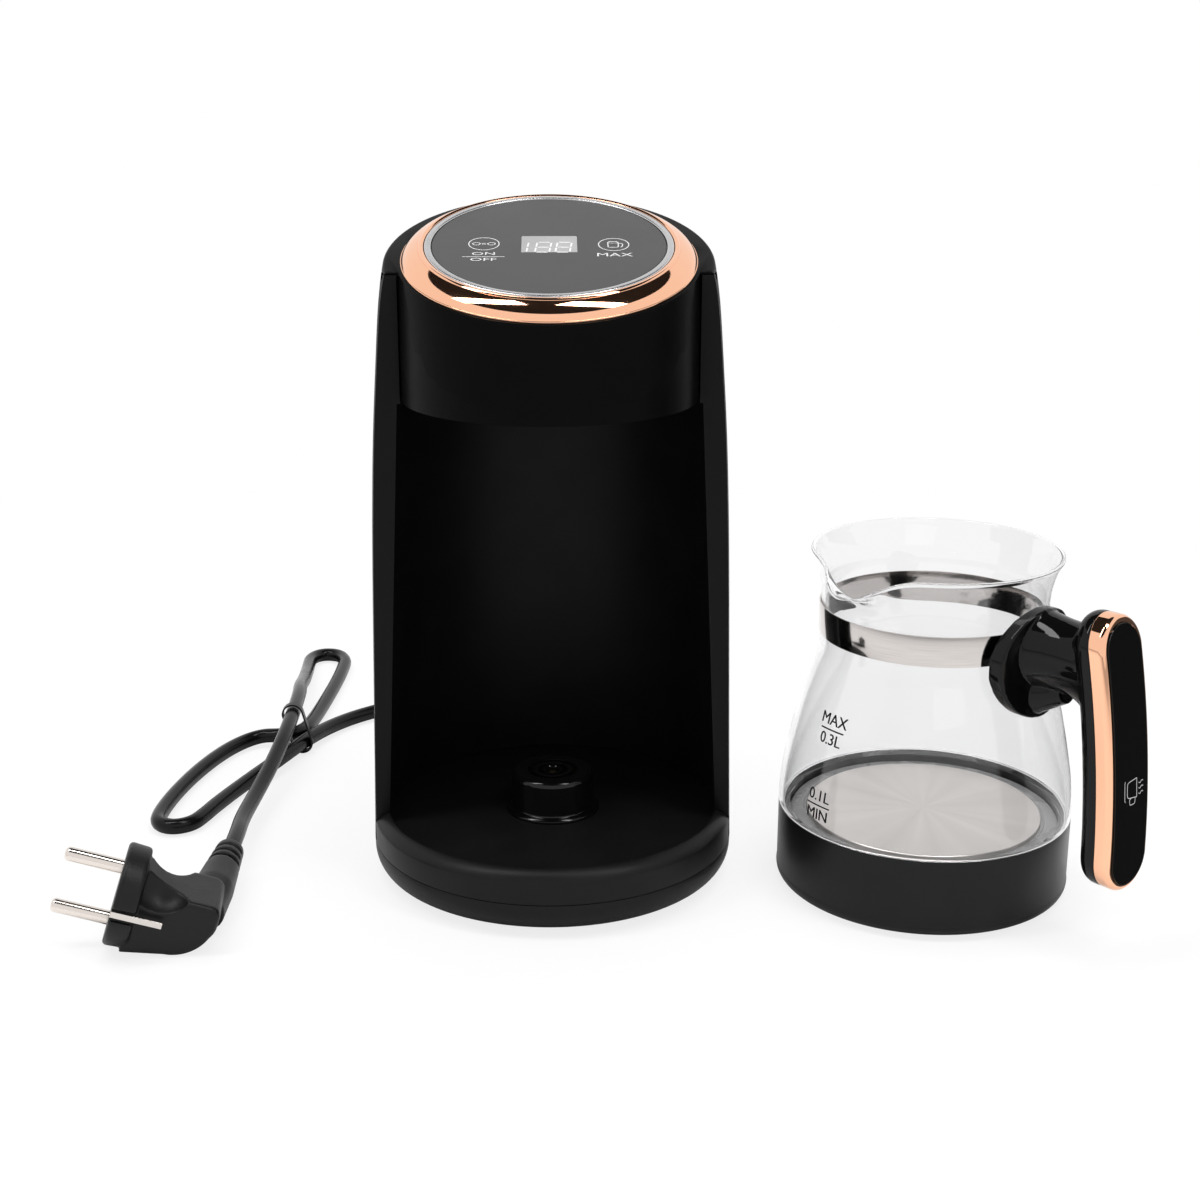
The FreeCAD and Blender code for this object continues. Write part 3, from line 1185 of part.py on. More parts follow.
def cover_screws():
    screws = [screw(x, y, CARAFE_FOOT, 9.0, 2.3, CASE_SCREW, 1.3)
              for x, y in around(3, CUP_SCREW_CIRCLE, 90)]
    return place_carafe(group(*screws))


def carafe_coupler():
    """Female half of the coupling: a round well that fits over the pedestal."""
    rim = COUPLER_RADIUS + COUPLER_WALL
    seat = CARAFE_FOOT + 2
    roof = COUPLER_DEPTH + 2.2
    well = turned((COUPLER_RADIUS + 1.6, CARAFE_FOOT), (rim, CARAFE_FOOT), (rim, seat), (rim + 3.4, seat),
                  (rim + 3.4, seat + 2), (rim, seat + 2), (rim, roof), (0, roof),
                  (0, COUPLER_DEPTH), (COUPLER_RADIUS, COUPLER_DEPTH), (COUPLER_RADIUS, seat))
    slots = [block(x - 0.5, x + 0.5, -1.6, 1.6, COUPLER_DEPTH - 1, COUPLER_DEPTH + 3)
             for x in coupler_blades()]
    return place_carafe(well.cut(slots))


def coupler_blades():
    return (CONTACT_RING_RADII[0], -CONTACT_RING_RADII[1], 0.0)


def coupler_contacts():
    """Two rings and a centre button with the blades that carry them through the well."""
    reach = PEDESTAL_TOP - DECK_TOP - CONTACT_REACH + 0.1
    half = CONTACT_RING_WALL / 2
    rings = [ring(r + half, r - half, reach, COUPLER_DEPTH) for r in CONTACT_RING_RADII]
    button = disc(CONTACT_PIN_RADIUS, PEDESTAL_TOP - DECK_TOP - 0.9, COUPLER_DEPTH)
    blades = [block(x - half, x + half, -1.5, 1.5, COUPLER_DEPTH - 0.5, COUPLER_DEPTH + 4.6)
              for x in coupler_blades()]
    pieces = [together(part, blade) for part, blade in zip(rings + [button], blades)]
    return place_carafe(group(*pieces))


def heat_spreader():
    top = PLATE_TOP - 2
    return place_carafe(disc(36.0, top - SPREADER_THICKNESS, top))


def element_level():
    return PLATE_TOP - 2 - SPREADER_THICKNESS - ELEMENT_RADIUS


def element_end(side):
    angle = math.radians(180 - side * 20)
    return Vector(ELEMENT_CIRCLE * math.cos(angle), ELEMENT_CIRCLE * math.sin(angle), 0)


def heating_element():
    """Tubular element bent to an open ring under the spreader, its ends turned down."""
    torus = Part.makeTorus(ELEMENT_CIRCLE, ELEMENT_RADIUS, Vector(0, 0, element_level()), UP, 0, 360, 320)
    torus.rotate(Vector(0, 0, 0), UP, -160)
    ends = []
    for side in (-1, 1):
        place = element_end(side)
        ends.append(disc(ELEMENT_RADIUS, element_level() - 8, element_level(), place.x, place.y))
        ends.append(Part.makeSphere(ELEMENT_RADIUS, Vector(place.x, place.y, element_level())))
        ends.append(disc(1.2, element_level() - ELEMENT_DROP, element_level() - 7, place.x, place.y))
    return place_carafe(together(torus, *ends))


def thermal_sensor():
    top = PLATE_TOP - 2 - SPREADER_THICKNESS
    return place_carafe(together(disc(3.6, top - 2.6, top, 0, 12.0), disc(1.8, top - 3.4, top - 2, 0, 12.0)))


def carafe_wires():
    """Leads from the element's ends to the blades of the coupling."""
    level = element_level() - ELEMENT_DROP
    over = COUPLER_DEPTH + 3.4
    rim = COUPLER_RADIUS + COUPLER_WALL
    wires = []
    for side, x in ((1, CONTACT_RING_RADII[0]), (-1, -CONTACT_RING_RADII[1])):
        place = element_end(side)
        y = place.y
        points = [(place.x, y, level), (place.x, y, level - 2.2), (place.x + 5.0, y * 1.05, level - 2.6),
                  (-rim - 2.6, y * 1.1, over - 3), (-rim + 0.6, side * 9.0, over + 1.4),
                  (x - 0.6, side * 6.0, over), (x, side * 1.5, over)]
        wires.append(tube(points, LEAD_RADIUS, 0.4)[0])
    return place_carafe(group(*wires))


# ------------------------------------------------------------------------------ handle
def arc_centre(points):
    """Centre and radius of the circle through three points of the side view."""
    (x1, z1), (x2, z2), (x3, z3) = points
    a = 2 * (x1 * (z2 - z3) - z1 * (x2 - x3) + x2 * z3 - x3 * z2)
    s1, s2, s3 = x1 * x1 + z1 * z1, x2 * x2 + z2 * z2, x3 * x3 + z3 * z3
    x = (s1 * (z2 - z3) + s2 * (z3 - z1) + s3 * (z1 - z2)) / a
    z = (s1 * (x3 - x2) + s2 * (x1 - x3) + s3 * (x2 - x1)) / a
    return x, z, math.hypot(x1 - x, z1 - z)


def grip_layer(near, far):
    """Slice of the grip between two depths below its outer face."""
    x, z, radius = arc_centre(GRIP_FACE)
    outer = Part.makeCylinder(radius - near, 60, Vector(x, -30, z), Y_AXIS)
    inner = Part.makeCylinder(radius - far, 62, Vector(x, -31, z), Y_AXIS)
    return outer.cut(inner).common(block(50, 100, -29, 29, 0, 140))


def grip_slot(inset):
    """Prism of the grip's front view: a slot with round ends."""
    half = GRIP_HALF_WIDTH - inset
    low, high = GRIP_BOTTOM + GRIP_HALF_WIDTH, GRIP_TOP - GRIP_HALF_WIDTH
    middle = block(50, 100, -half, half, low, high)
    return together(middle, rod(half, Vector(50, 0, low), Vector(100, 0, low)),
                    rod(half, Vector(50, 0, high), Vector(100, 0, high)))


def handle_trim():
    """Plated frame round the grip."""
    frame = grip_layer(0, TRIM_DEPTH).common(grip_slot(0))
    x, z, radius = arc_centre(GRIP_FACE)

    def outer_rim(edge):
        point = edge.valueAt((edge.FirstParameter + edge.LastParameter) / 2)
        return abs(math.hypot(point.x - x, point.z - z) - radius) < 0.01

    frame = rounded(frame, TRIM_ROUNDING, outer_rim)
    return place_handle(frame.cut(grip_slot(INSERT_INSET)))


def handle_insert():
    """Gloss plate let into the trim."""
    plate = grip_layer(-INSERT_PROUD, INSERT_THICKNESS).common(grip_slot(INSERT_INSET + FIT_GAP))
    return place_handle(plate)


def neck_form():
    """Oval neck from the flange, widening into the grip."""
    wires = []
    for reach, half_width, half_height, drop in NECK_SECTIONS:
        centre = Vector(reach, 0, NECK_Z - drop)
        curve = Part.Ellipse(centre + Vector(0, 0, half_height), centre + Vector(0, half_width, 0), centre)
        halves = [Part.Arc(curve, 0, math.pi), Part.Arc(curve, math.pi, 2 * math.pi)]
        wires.append(Part.Wire([half.toShape() for half in halves]))
    return Part.makeLoft(wires, True, False)


def glass_room():
    """Solid of the glass below its neck, grown by the seam's gap."""
    steps = glass_wall_steps(-SEAM_GAP)
    return turned((0, GLASS_SHOULDER_Z), *steps, (0, GLASS_NECK_Z))


def handle_flange():
    """Round plate that is bent to the neck of the glass; the bend's seam lies at the far side."""
    plate = rod(FLANGE_RADIUS, Vector(30, 0, FLANGE_CENTRE_Z), Vector(60, 0, FLANGE_CENTRE_Z))
    bend = turned_about_z(ring(FLANGE_INNER + FLANGE_THICKNESS, FLANGE_INNER, 0, 200), 180)
    return plate.common(bend)


def handle_body():
    """Flange on the glass, neck, and the inner side of the grip."""
    round_glass = disc(FLANGE_INNER, 0, 200)
    neck = neck_form().cut([round_glass, grip_layer(-20, TRIM_DEPTH)])
    gusset = Part.makeCone(GUSSET_RADIUS, GUSSET_TIP_RADIUS, GUSSET_END - FLANGE_INNER,
                           Vector(FLANGE_INNER, 0, GUSSET_Z), Vector(1, 0, 0.3)).cut(round_glass)
    pad = rod(PAD_RADIUS, Vector(36, 0, NECK_Z), Vector(46, 0, NECK_Z))
    pad = pad.cut(disc(GLASS_NECK_RADIUS + BAND_GAP + BAND_THICKNESS, 0, 200))
    inner = rounded(grip_layer(TRIM_DEPTH, GRIP_DEPTH).common(grip_slot(0)), GRIP_ROUNDING, is_inner_rim)
    core = grip_layer(INSERT_THICKNESS + 0.1, TRIM_DEPTH + 1).common(grip_slot(INSERT_INSET + FIT_GAP))
    solid = inner.fuse([core, neck, handle_flange(), pad, gusset])
    bore = rod(SCREW_SHANK + FIT_GAP, Vector(30, 0, NECK_Z), Vector(90, 0, NECK_Z))
    counterbore = rod(SCREW_HEAD + 0.4, Vector(SCREW_SEAT, 0, NECK_Z), Vector(90, 0, NECK_Z))
    half = NUT_HALF + NUT_GAP
    pocket = block(30, NUT_END + 0.4, -half, half, NECK_Z - half, NECK_Z + half)
    return place_handle(solid.cut([bore, counterbore, pocket, glass_room()]))


def is_inner_rim(edge):
    x, z, radius = arc_centre(GRIP_FACE)
    point = edge.valueAt((edge.FirstParameter + edge.LastParameter) / 2)
    return abs(math.hypot(point.x - x, point.z - z) - (radius - GRIP_DEPTH)) < 0.01


def handle_screw():
    """Long screw under the insert, from the grip into the block on the band."""
    end = GLASS_NECK_RADIUS + 1.6
    head = rod(SCREW_HEAD, Vector(SCREW_SEAT, 0, NECK_Z), Vector(SCREW_SEAT + 2.4, 0, NECK_Z))
    socket = rod(1.4, Vector(SCREW_SEAT + 1, 0, NECK_Z), Vector(SCREW_SEAT + 3, 0, NECK_Z))
    shank = rod(SCREW_SHANK - SCREW_GAP, Vector(end, 0, NECK_Z), Vector(SCREW_SEAT, 0, NECK_Z))
    return place_handle(head.fuse(shank).cut(socket))


BUILDERS = (
    base_pan, rubber_feet, base_screws, base_tray, dock_pedestal, dock_contacts, dock_terminals,
    bay_liner, back_shell, head_cover, head_ceiling, steam_sensor, silver_rim, rose_ring,
    control_panel, display_window, panel_carrier, carrier_screws, control_board, board_screws,
    display_module, touch_springs, buzzer, power_board, power_board_screws, power_relay,
    supply_transformer, filter_capacitor, heat_sink_triac, control_harness, dock_harness,
    terminal_block, supply_cores, gland, mains_cord, cord_tie, plug_body, plug_pins,
    plug_earth_strips, carafe_glass, carafe_band, heating_plate, plate_seal, carafe_base_cup,
    carafe_base_cover, cover_screws, carafe_coupler, coupler_contacts, heat_spreader,
    heating_element, thermal_sensor, carafe_wires, handle_body, handle_trim, handle_insert,
    handle_screw,
)


def main():
    os.makedirs("parts", exist_ok=True)
    for build in BUILDERS:
        save(build.__name__, build())


if __name__ == "__main__":
    main()
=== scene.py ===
"""Looks of an electric coffee maker: docking base, glass carafe and mains lead.

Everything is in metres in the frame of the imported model: +Z up, the origin on the tabletop on
the axis of the dock, the open bay towards -Y and the carafe on the +X side.
"""
import logging
import math
from dataclasses import dataclass, field
from enum import Enum
from typing import Callable, Iterable, Sequence

import bmesh
import bpy
import numpy as np
from mathutils import Matrix, Vector


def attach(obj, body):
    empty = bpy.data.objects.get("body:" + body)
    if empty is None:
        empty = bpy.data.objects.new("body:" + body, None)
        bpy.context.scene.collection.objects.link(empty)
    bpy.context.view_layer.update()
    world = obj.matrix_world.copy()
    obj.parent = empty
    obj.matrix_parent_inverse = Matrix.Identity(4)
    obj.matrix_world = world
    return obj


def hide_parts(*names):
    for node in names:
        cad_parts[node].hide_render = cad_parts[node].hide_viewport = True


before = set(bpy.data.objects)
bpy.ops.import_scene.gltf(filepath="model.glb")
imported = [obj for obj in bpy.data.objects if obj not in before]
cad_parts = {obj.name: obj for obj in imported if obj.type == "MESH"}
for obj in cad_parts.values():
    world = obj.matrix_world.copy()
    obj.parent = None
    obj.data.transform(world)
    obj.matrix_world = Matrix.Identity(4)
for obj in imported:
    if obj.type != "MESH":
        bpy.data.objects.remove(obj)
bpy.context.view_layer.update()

logging.basicConfig(level=logging.INFO, format="%(message)s")
log = logging.getLogger("coffee_maker")

MM = 0.001
BASE = "base_unit"
CARAFE = "carafe"
Point2 = tuple[float, float]
Point3 = tuple[float, float, float]
Colour = tuple[float, float, float]
Socket = bpy.types.NodeSocket
ORIGIN: Point3 = (0.0, 0.0, 0.0)
NOISE_SPAN = (0.3, 0.7)      # where most of a noise texture's values lie
SMUDGE_SPAN = (0.45, 0.7)    # the part of the noise that shows as a wiping mark
FINE_BUMP = 0.00002          # depth in metres of a surface's finest relief
SHARP_DEGREES = 32.0         # edges sharper than this stay hard
BEVEL_DEGREES = 40           # edges of a CAD node sharper than this are broken
WELD = 2e-6                  # distances in metres within which points of a CAD node are one
DEGENERATE = 1e-6
FLAT_DEGREES = 0.05          # neighbours within this angle become one face
INK = 0.03                   # thickness of print in millimetres
CAPITAL_SHARE = 0.7          # height of a capital against the font's size


def add_node(tree: bpy.types.NodeTree, kind: str, values: dict[str | int, object] | None = None,
             **settings: object) -> bpy.types.Node:
    """Add a node to a shader or geometry tree.

    Args:
        tree: The tree.
        kind: The node's type.
        values: For each input, a socket to link from or a constant.
        settings: Properties of the node.

    Returns:
        The node.
    """
    node = tree.nodes.new(kind)
    for label, setting in settings.items():
        setattr(node, label, setting)
    for label, value in (values or {}).items():
        if isinstance(value, Socket):
            tree.links.new(value, node.inputs[label])
        else:
            node.inputs[label].default_value = value
    return node


def add_math(tree: bpy.types.NodeTree, operation: str, first: object, second: object) -> Socket:
    """Add a Math node on two values or sockets and return its output."""
    return add_node(tree, "ShaderNodeMath", {0: first, 1: second}, operation=operation).outputs[0]


def in_scene(name: str, data: bpy.types.ID) -> bpy.types.Object:
    """New object that holds the data, linked to the scene."""
    made = bpy.data.objects.new(name, data)
    bpy.context.scene.collection.objects.link(made)
    return made


# ------------------------------------------------------------------------------ shader groups
class GroupKind(Enum):
    """Shader node groups that several finishes share."""

    GRAIN = "grain"
    SMUDGE = "smudge"
    LINES = "brushed_lines"


class GroupLibrary:
    """Builds each shared shader group once and hands it out."""

    def __init__(self) -> None:
        self.made: dict[GroupKind, bpy.types.ShaderNodeTree] = {}

    def get(self, kind: GroupKind) -> bpy.types.ShaderNodeTree:
        """Return the group of this kind, building it at the first call."""
        if kind not in self.made:
            builders = {
                GroupKind.GRAIN: self._grain,
                GroupKind.SMUDGE: self._smudge,
                GroupKind.LINES: self._lines,
            }
            self.made[kind] = builders[kind]()
        return self.made[kind]

    @staticmethod
    def _new(name: str, inputs: dict[str, float], outputs: Iterable[str]) -> bpy.types.ShaderNodeTree:
        """Make an empty group with a Vector input, float inputs and float outputs.

        Args:
            name: The group's name.
            inputs: Default value of each float input.
            outputs: Output names.

        Returns:
            The node tree, with its input and output nodes in place.
        """
        tree = bpy.data.node_groups.new(name, "ShaderNodeTree")
        tree.interface.new_socket("Vector", in_out="INPUT", socket_type="NodeSocketVector")
        for label, value in inputs.items():
            socket = tree.interface.new_socket(label, in_out="INPUT", socket_type="NodeSocketFloat")
            socket.default_value = value
        for label in outputs:
            tree.interface.new_socket(label, in_out="OUTPUT", socket_type="NodeSocketFloat")
        tree.nodes.new("NodeGroupInput").name = "in"
        tree.nodes.new("NodeGroupOutput").name = "out"
        return tree

    @staticmethod
    def _ramp(tree: bpy.types.ShaderNodeTree, source: Socket, span: Point2,
              low: Socket | float, high: Socket | float) -> Socket:
        """Map a value from a span to the range from low to high and return the output socket."""
        return add_node(tree, "ShaderNodeMapRange", {
            "Value": source, "From Min": span[0], "From Max": span[1], "To Min": low, "To Max": high,
        }).outputs["Result"]

    @staticmethod
    def _end(tree: bpy.types.ShaderNodeTree, **outputs: Socket) -> bpy.types.ShaderNodeTree:
        """Link the group's outputs and return the group."""
        for label, socket in outputs.items():
            tree.links.new(socket, tree.nodes["out"].inputs[label])
        return tree

    def _grain(self) -> bpy.types.ShaderNodeTree:
        """Fine moulded grain: height, roughness and a tone that drift slightly."""
        tree = self._new("moulded_grain",
                         {"Scale": 2600.0, "Roughness Low": 0.5, "Roughness High": 0.6, "Tone Spread": 0.1},
                         ("Height", "Roughness", "Tone"))
        given = tree.nodes["in"].outputs
        fine = add_node(tree, "ShaderNodeTexNoise",
                        {"Vector": given["Vector"], "Scale": given["Scale"], "Detail": 3.0})
        broad = add_node(tree, "ShaderNodeTexNoise",
                         {"Vector": given["Vector"], "Scale": 55.0, "Detail": 4.0}).outputs["Fac"]
        rough = self._ramp(tree, broad, NOISE_SPAN, given["Roughness Low"], given["Roughness High"])
        below = add_math(tree, "SUBTRACT", 1.0, given["Tone Spread"])
        above = add_math(tree, "ADD", 1.0, given["Tone Spread"])
        return self._end(tree, Height=fine.outputs["Fac"], Roughness=rough,
                         Tone=self._ramp(tree, broad, NOISE_SPAN, below, above))

    def _smudge(self) -> bpy.types.ShaderNodeTree:
        """Faint wiping marks on polished surfaces, as a roughness that varies."""
        tree = self._new("wiping_smudge", {"Scale": 60.0, "Roughness Low": 0.04, "Roughness High": 0.1},
                         ("Roughness", "Height"))
        given = tree.nodes["in"].outputs
        marks = add_node(tree, "ShaderNodeTexNoise", {"Vector": given["Vector"], "Scale": given["Scale"],
                                                      "Detail": 6.0, "Distortion": 0.8}).outputs["Fac"]
        rough = self._ramp(tree, marks, SMUDGE_SPAN, given["Roughness Low"], given["Roughness High"])
        return self._end(tree, Roughness=rough, Height=marks)

    def _lines(self) -> bpy.types.ShaderNodeTree:
        """Brushing that runs around or across the Z axis of the given coordinates; where the lines are broad,
        their tone is a painted sheen.
        """
        tree = self._new("brushed_lines",
                         {"Around": 14.0, "Across": 9000.0, "Roughness Low": 0.2, "Roughness High": 0.4,
                          "Tone Low": 0.86, "Tone High": 1.08},
                         ("Roughness", "Height", "Tone"))
        given = tree.nodes["in"].outputs
        split = add_node(tree, "ShaderNodeSeparateXYZ", {0: given["Vector"]}).outputs
        angle = add_math(tree, "ARCTAN2", split["Y"], split["X"])
        length = add_node(tree, "ShaderNodeVectorMath", {0: given["Vector"]}, operation="LENGTH")
        around = add_math(tree, "MULTIPLY", angle, given["Around"])
        across = add_math(tree, "MULTIPLY", length.outputs["Value"], given["Across"])
        joint = add_node(tree, "ShaderNodeCombineXYZ", {"X": around, "Y": across})
        lines = add_node(tree, "ShaderNodeTexNoise",
                         {"Vector": joint.outputs[0], "Scale": 1.0, "Detail": 4.0}).outputs["Fac"]
        rough = self._ramp(tree, lines, NOISE_SPAN, given["Roughness Low"], given["Roughness High"])
        tone = self._ramp(tree, lines, NOISE_SPAN, given["Tone Low"], given["Tone High"])
        return self._end(tree, Roughness=rough, Height=lines, Tone=tone)


GROUPS = GroupLibrary()


# ----------------------------------------------------------------------------------- finishes
class Sheet:
    """A new material with its Principled shader and coordinate helpers."""

    def __init__(self, name: str) -> None:
        self.material = bpy.data.materials.new(name)
        self.material.use_nodes = True
        self.tree = self.material.node_tree
        self.shader = next(n for n in self.tree.nodes if n.type == "BSDF_PRINCIPLED")
        self.output = next(n for n in self.tree.nodes if n.type == "OUTPUT_MATERIAL")

    def set(self, **values: float | tuple) -> None:
        """Set constants on the shader's own sockets; underscores stand for spaces."""
        for label, value in values.items():
            socket = self.shader.inputs[label.replace("_", " ")]
            if socket.type == "RGBA" and len(value) == 3:
                value = (*value, 1.0)
            socket.default_value = value

    def coordinates(self, centre: Point3 = ORIGIN) -> Socket:
        """Object coordinates, moved so that the centre is their origin."""
        source = self.tree.nodes.new("ShaderNodeTexCoord").outputs["Object"]
        if centre == ORIGIN:
            return source
        return add_node(self.tree, "ShaderNodeVectorMath", {0: source, 1: centre},
                        operation="SUBTRACT").outputs[0]

    def dress(self, kind: GroupKind, colour: Colour | None = None, bump: Point2 | None = None,
              centre: Point3 = ORIGIN, **values: float) -> bpy.types.Material:
        """Take roughness, and where asked base colour and relief, from a shared group.

        Args:
            kind: The group.
            colour: Base colour that the group's tone scales, or None to leave it.
            bump: Strength of the relief and its depth in metres, or None for none.
            centre: Origin of the group's coordinates.
            values: The group's own values; underscores stand for spaces.

        Returns:
            The finished material.
        """
        group = add_node(self.tree, "ShaderNodeGroup", None, node_tree=GROUPS.get(kind))
        self.tree.links.new(self.coordinates(centre), group.inputs["Vector"])
        for label, value in values.items():
            group.inputs[label.replace("_", " ")].default_value = value
        self.tree.links.new(group.outputs["Roughness"], self.shader.inputs["Roughness"])
        if colour is not None:
            scaled = add_node(self.tree, "ShaderNodeVectorMath", {0: colour, "Scale": group.outputs["Tone"]},
                              operation="SCALE")
            self.tree.links.new(scaled.outputs[0], self.shader.inputs["Base Color"])
        if bump is not None:
            relief = add_node(self.tree, "ShaderNodeBump", {"Strength": bump[0], "Distance": bump[1],
                                                            "Height": group.outputs["Height"]})
            self.tree.links.new(relief.outputs["Normal"], self.shader.inputs["Normal"])
        return self.material

    def blend(self, share: Socket, other: Socket) -> None:
        """Show another shader in place of the Principled one to the given share."""
        mix = add_node(self.tree, "ShaderNodeMixShader", {0: share, 1: self.shader.outputs[0], 2: other})
        self.tree.links.new(mix.outputs[0], self.output.inputs["Surface"])


@dataclass(frozen=True)
class Moulded:
    """A moulded plastic or rubber with grain."""

    name: str
    colour: Colour
    roughness: Point2
    grain_scale: float = 2600.0
    grain_depth: float = FINE_BUMP
    bump_strength: float = 0.25
    tone_spread: float = 0.12
    specular: float = 0.5

    def build(self) -> bpy.types.Material:
        """Make the material."""
        sheet = Sheet(self.name)
        sheet.set(Specular_IOR_Level=self.specular)
        return sheet.dress(GroupKind.GRAIN, self.colour, (self.bump_strength, self.grain_depth),
                           Scale=self.grain_scale, Roughness_Low=self.roughness[0],
                           Roughness_High=self.roughness[1], Tone_Spread=self.tone_spread)


@dataclass(frozen=True)
class Polished:
    """A plated, polished or lacquered surface with faint wiping marks."""

    name: str
    colour: Colour
    roughness: Point2
    metallic: float = 1.0
    specular: float = 0.5
    bump_strength: float = 0.03

    def build(self) -> bpy.types.Material:
        """Make the material."""
        sheet = Sheet(self.name)
        sheet.set(Metallic=self.metallic, Base_Color=self.colour, Specular_IOR_Level=self.specular)
        return sheet.dress(GroupKind.SMUDGE, None, (self.bump_strength, FINE_BUMP),
                           Roughness_Low=self.roughness[0], Roughness_High=self.roughness[1])


@dataclass(frozen=True)
class Brushed:
    """Metal brushed around an axis that stands at a centre; where its lines are broad, their tone is a
    painted sheen.
    """

    name: str
    colour: Colour
    centre: Point3
    roughness: Point2 = (0.18, 0.38)
    around: float = 14.0
    across: float = 9000.0
    tone: Point2 = (0.86, 1.08)
    bump_strength: float = 0.12

    def build(self) -> bpy.types.Material:
        """Make the material."""
        sheet = Sheet(self.name)
        sheet.set(Metallic=1.0)
        return sheet.dress(GroupKind.LINES, self.colour, (self.bump_strength, FINE_BUMP), self.centre,
                           Around=self.around, Across=self.across,
                           Roughness_Low=self.roughness[0], Roughness_High=self.roughness[1],
                           Tone_Low=self.tone[0], Tone_High=self.tone[1])


@dataclass(frozen=True)
class ClearGlass:
    """Clear glass that lets light through to what stands behind it."""

    name: str
    tint: Colour = (0.92, 0.92, 0.925)
    index: float = 1.4
    shadow_level: float = 0.95
    deepest: float = 4.5

    def build(self) -> bpy.types.Material:
        """Make the material; shadow rays and rays past the deepest bounce go straight through."""
        sheet = Sheet(self.name)
        sheet.set(Base_Color=self.tint, Metallic=0.0, Transmission_Weight=1.0, IOR=self.index)
        sheet.dress(GroupKind.SMUDGE, Scale=35.0, Roughness_Low=0.0, Roughness_High=0.012)
        level = self.shadow_level
        through = add_node(sheet.tree, "ShaderNodeBsdfTransparent", {"Color": (level, level, level, 1.0)})
        path = sheet.tree.nodes.new("ShaderNodeLightPath").outputs
        trapped = add_math(sheet.tree, "GREATER_THAN", path["Ray Depth"], self.deepest)
        either = add_math(sheet.tree, "MAXIMUM", path["Is Shadow Ray"], trapped)
        sheet.blend(either, through.outputs[0])
        return sheet.material


@dataclass(frozen=True)
class Printed:
    """Flat printed ink or a pale segment."""

    name: str
    colour: Colour
    specular: float = 0.3

    def build(self) -> bpy.types.Material:
        """Make the material."""
        sheet = Sheet(self.name)
        sheet.set(Specular_IOR_Level=self.specular)
        return sheet.dress(GroupKind.GRAIN, self.colour, Scale=4000.0, Roughness_Low=0.45, Roughness_High=0.6,
                           Tone_Spread=0.05)


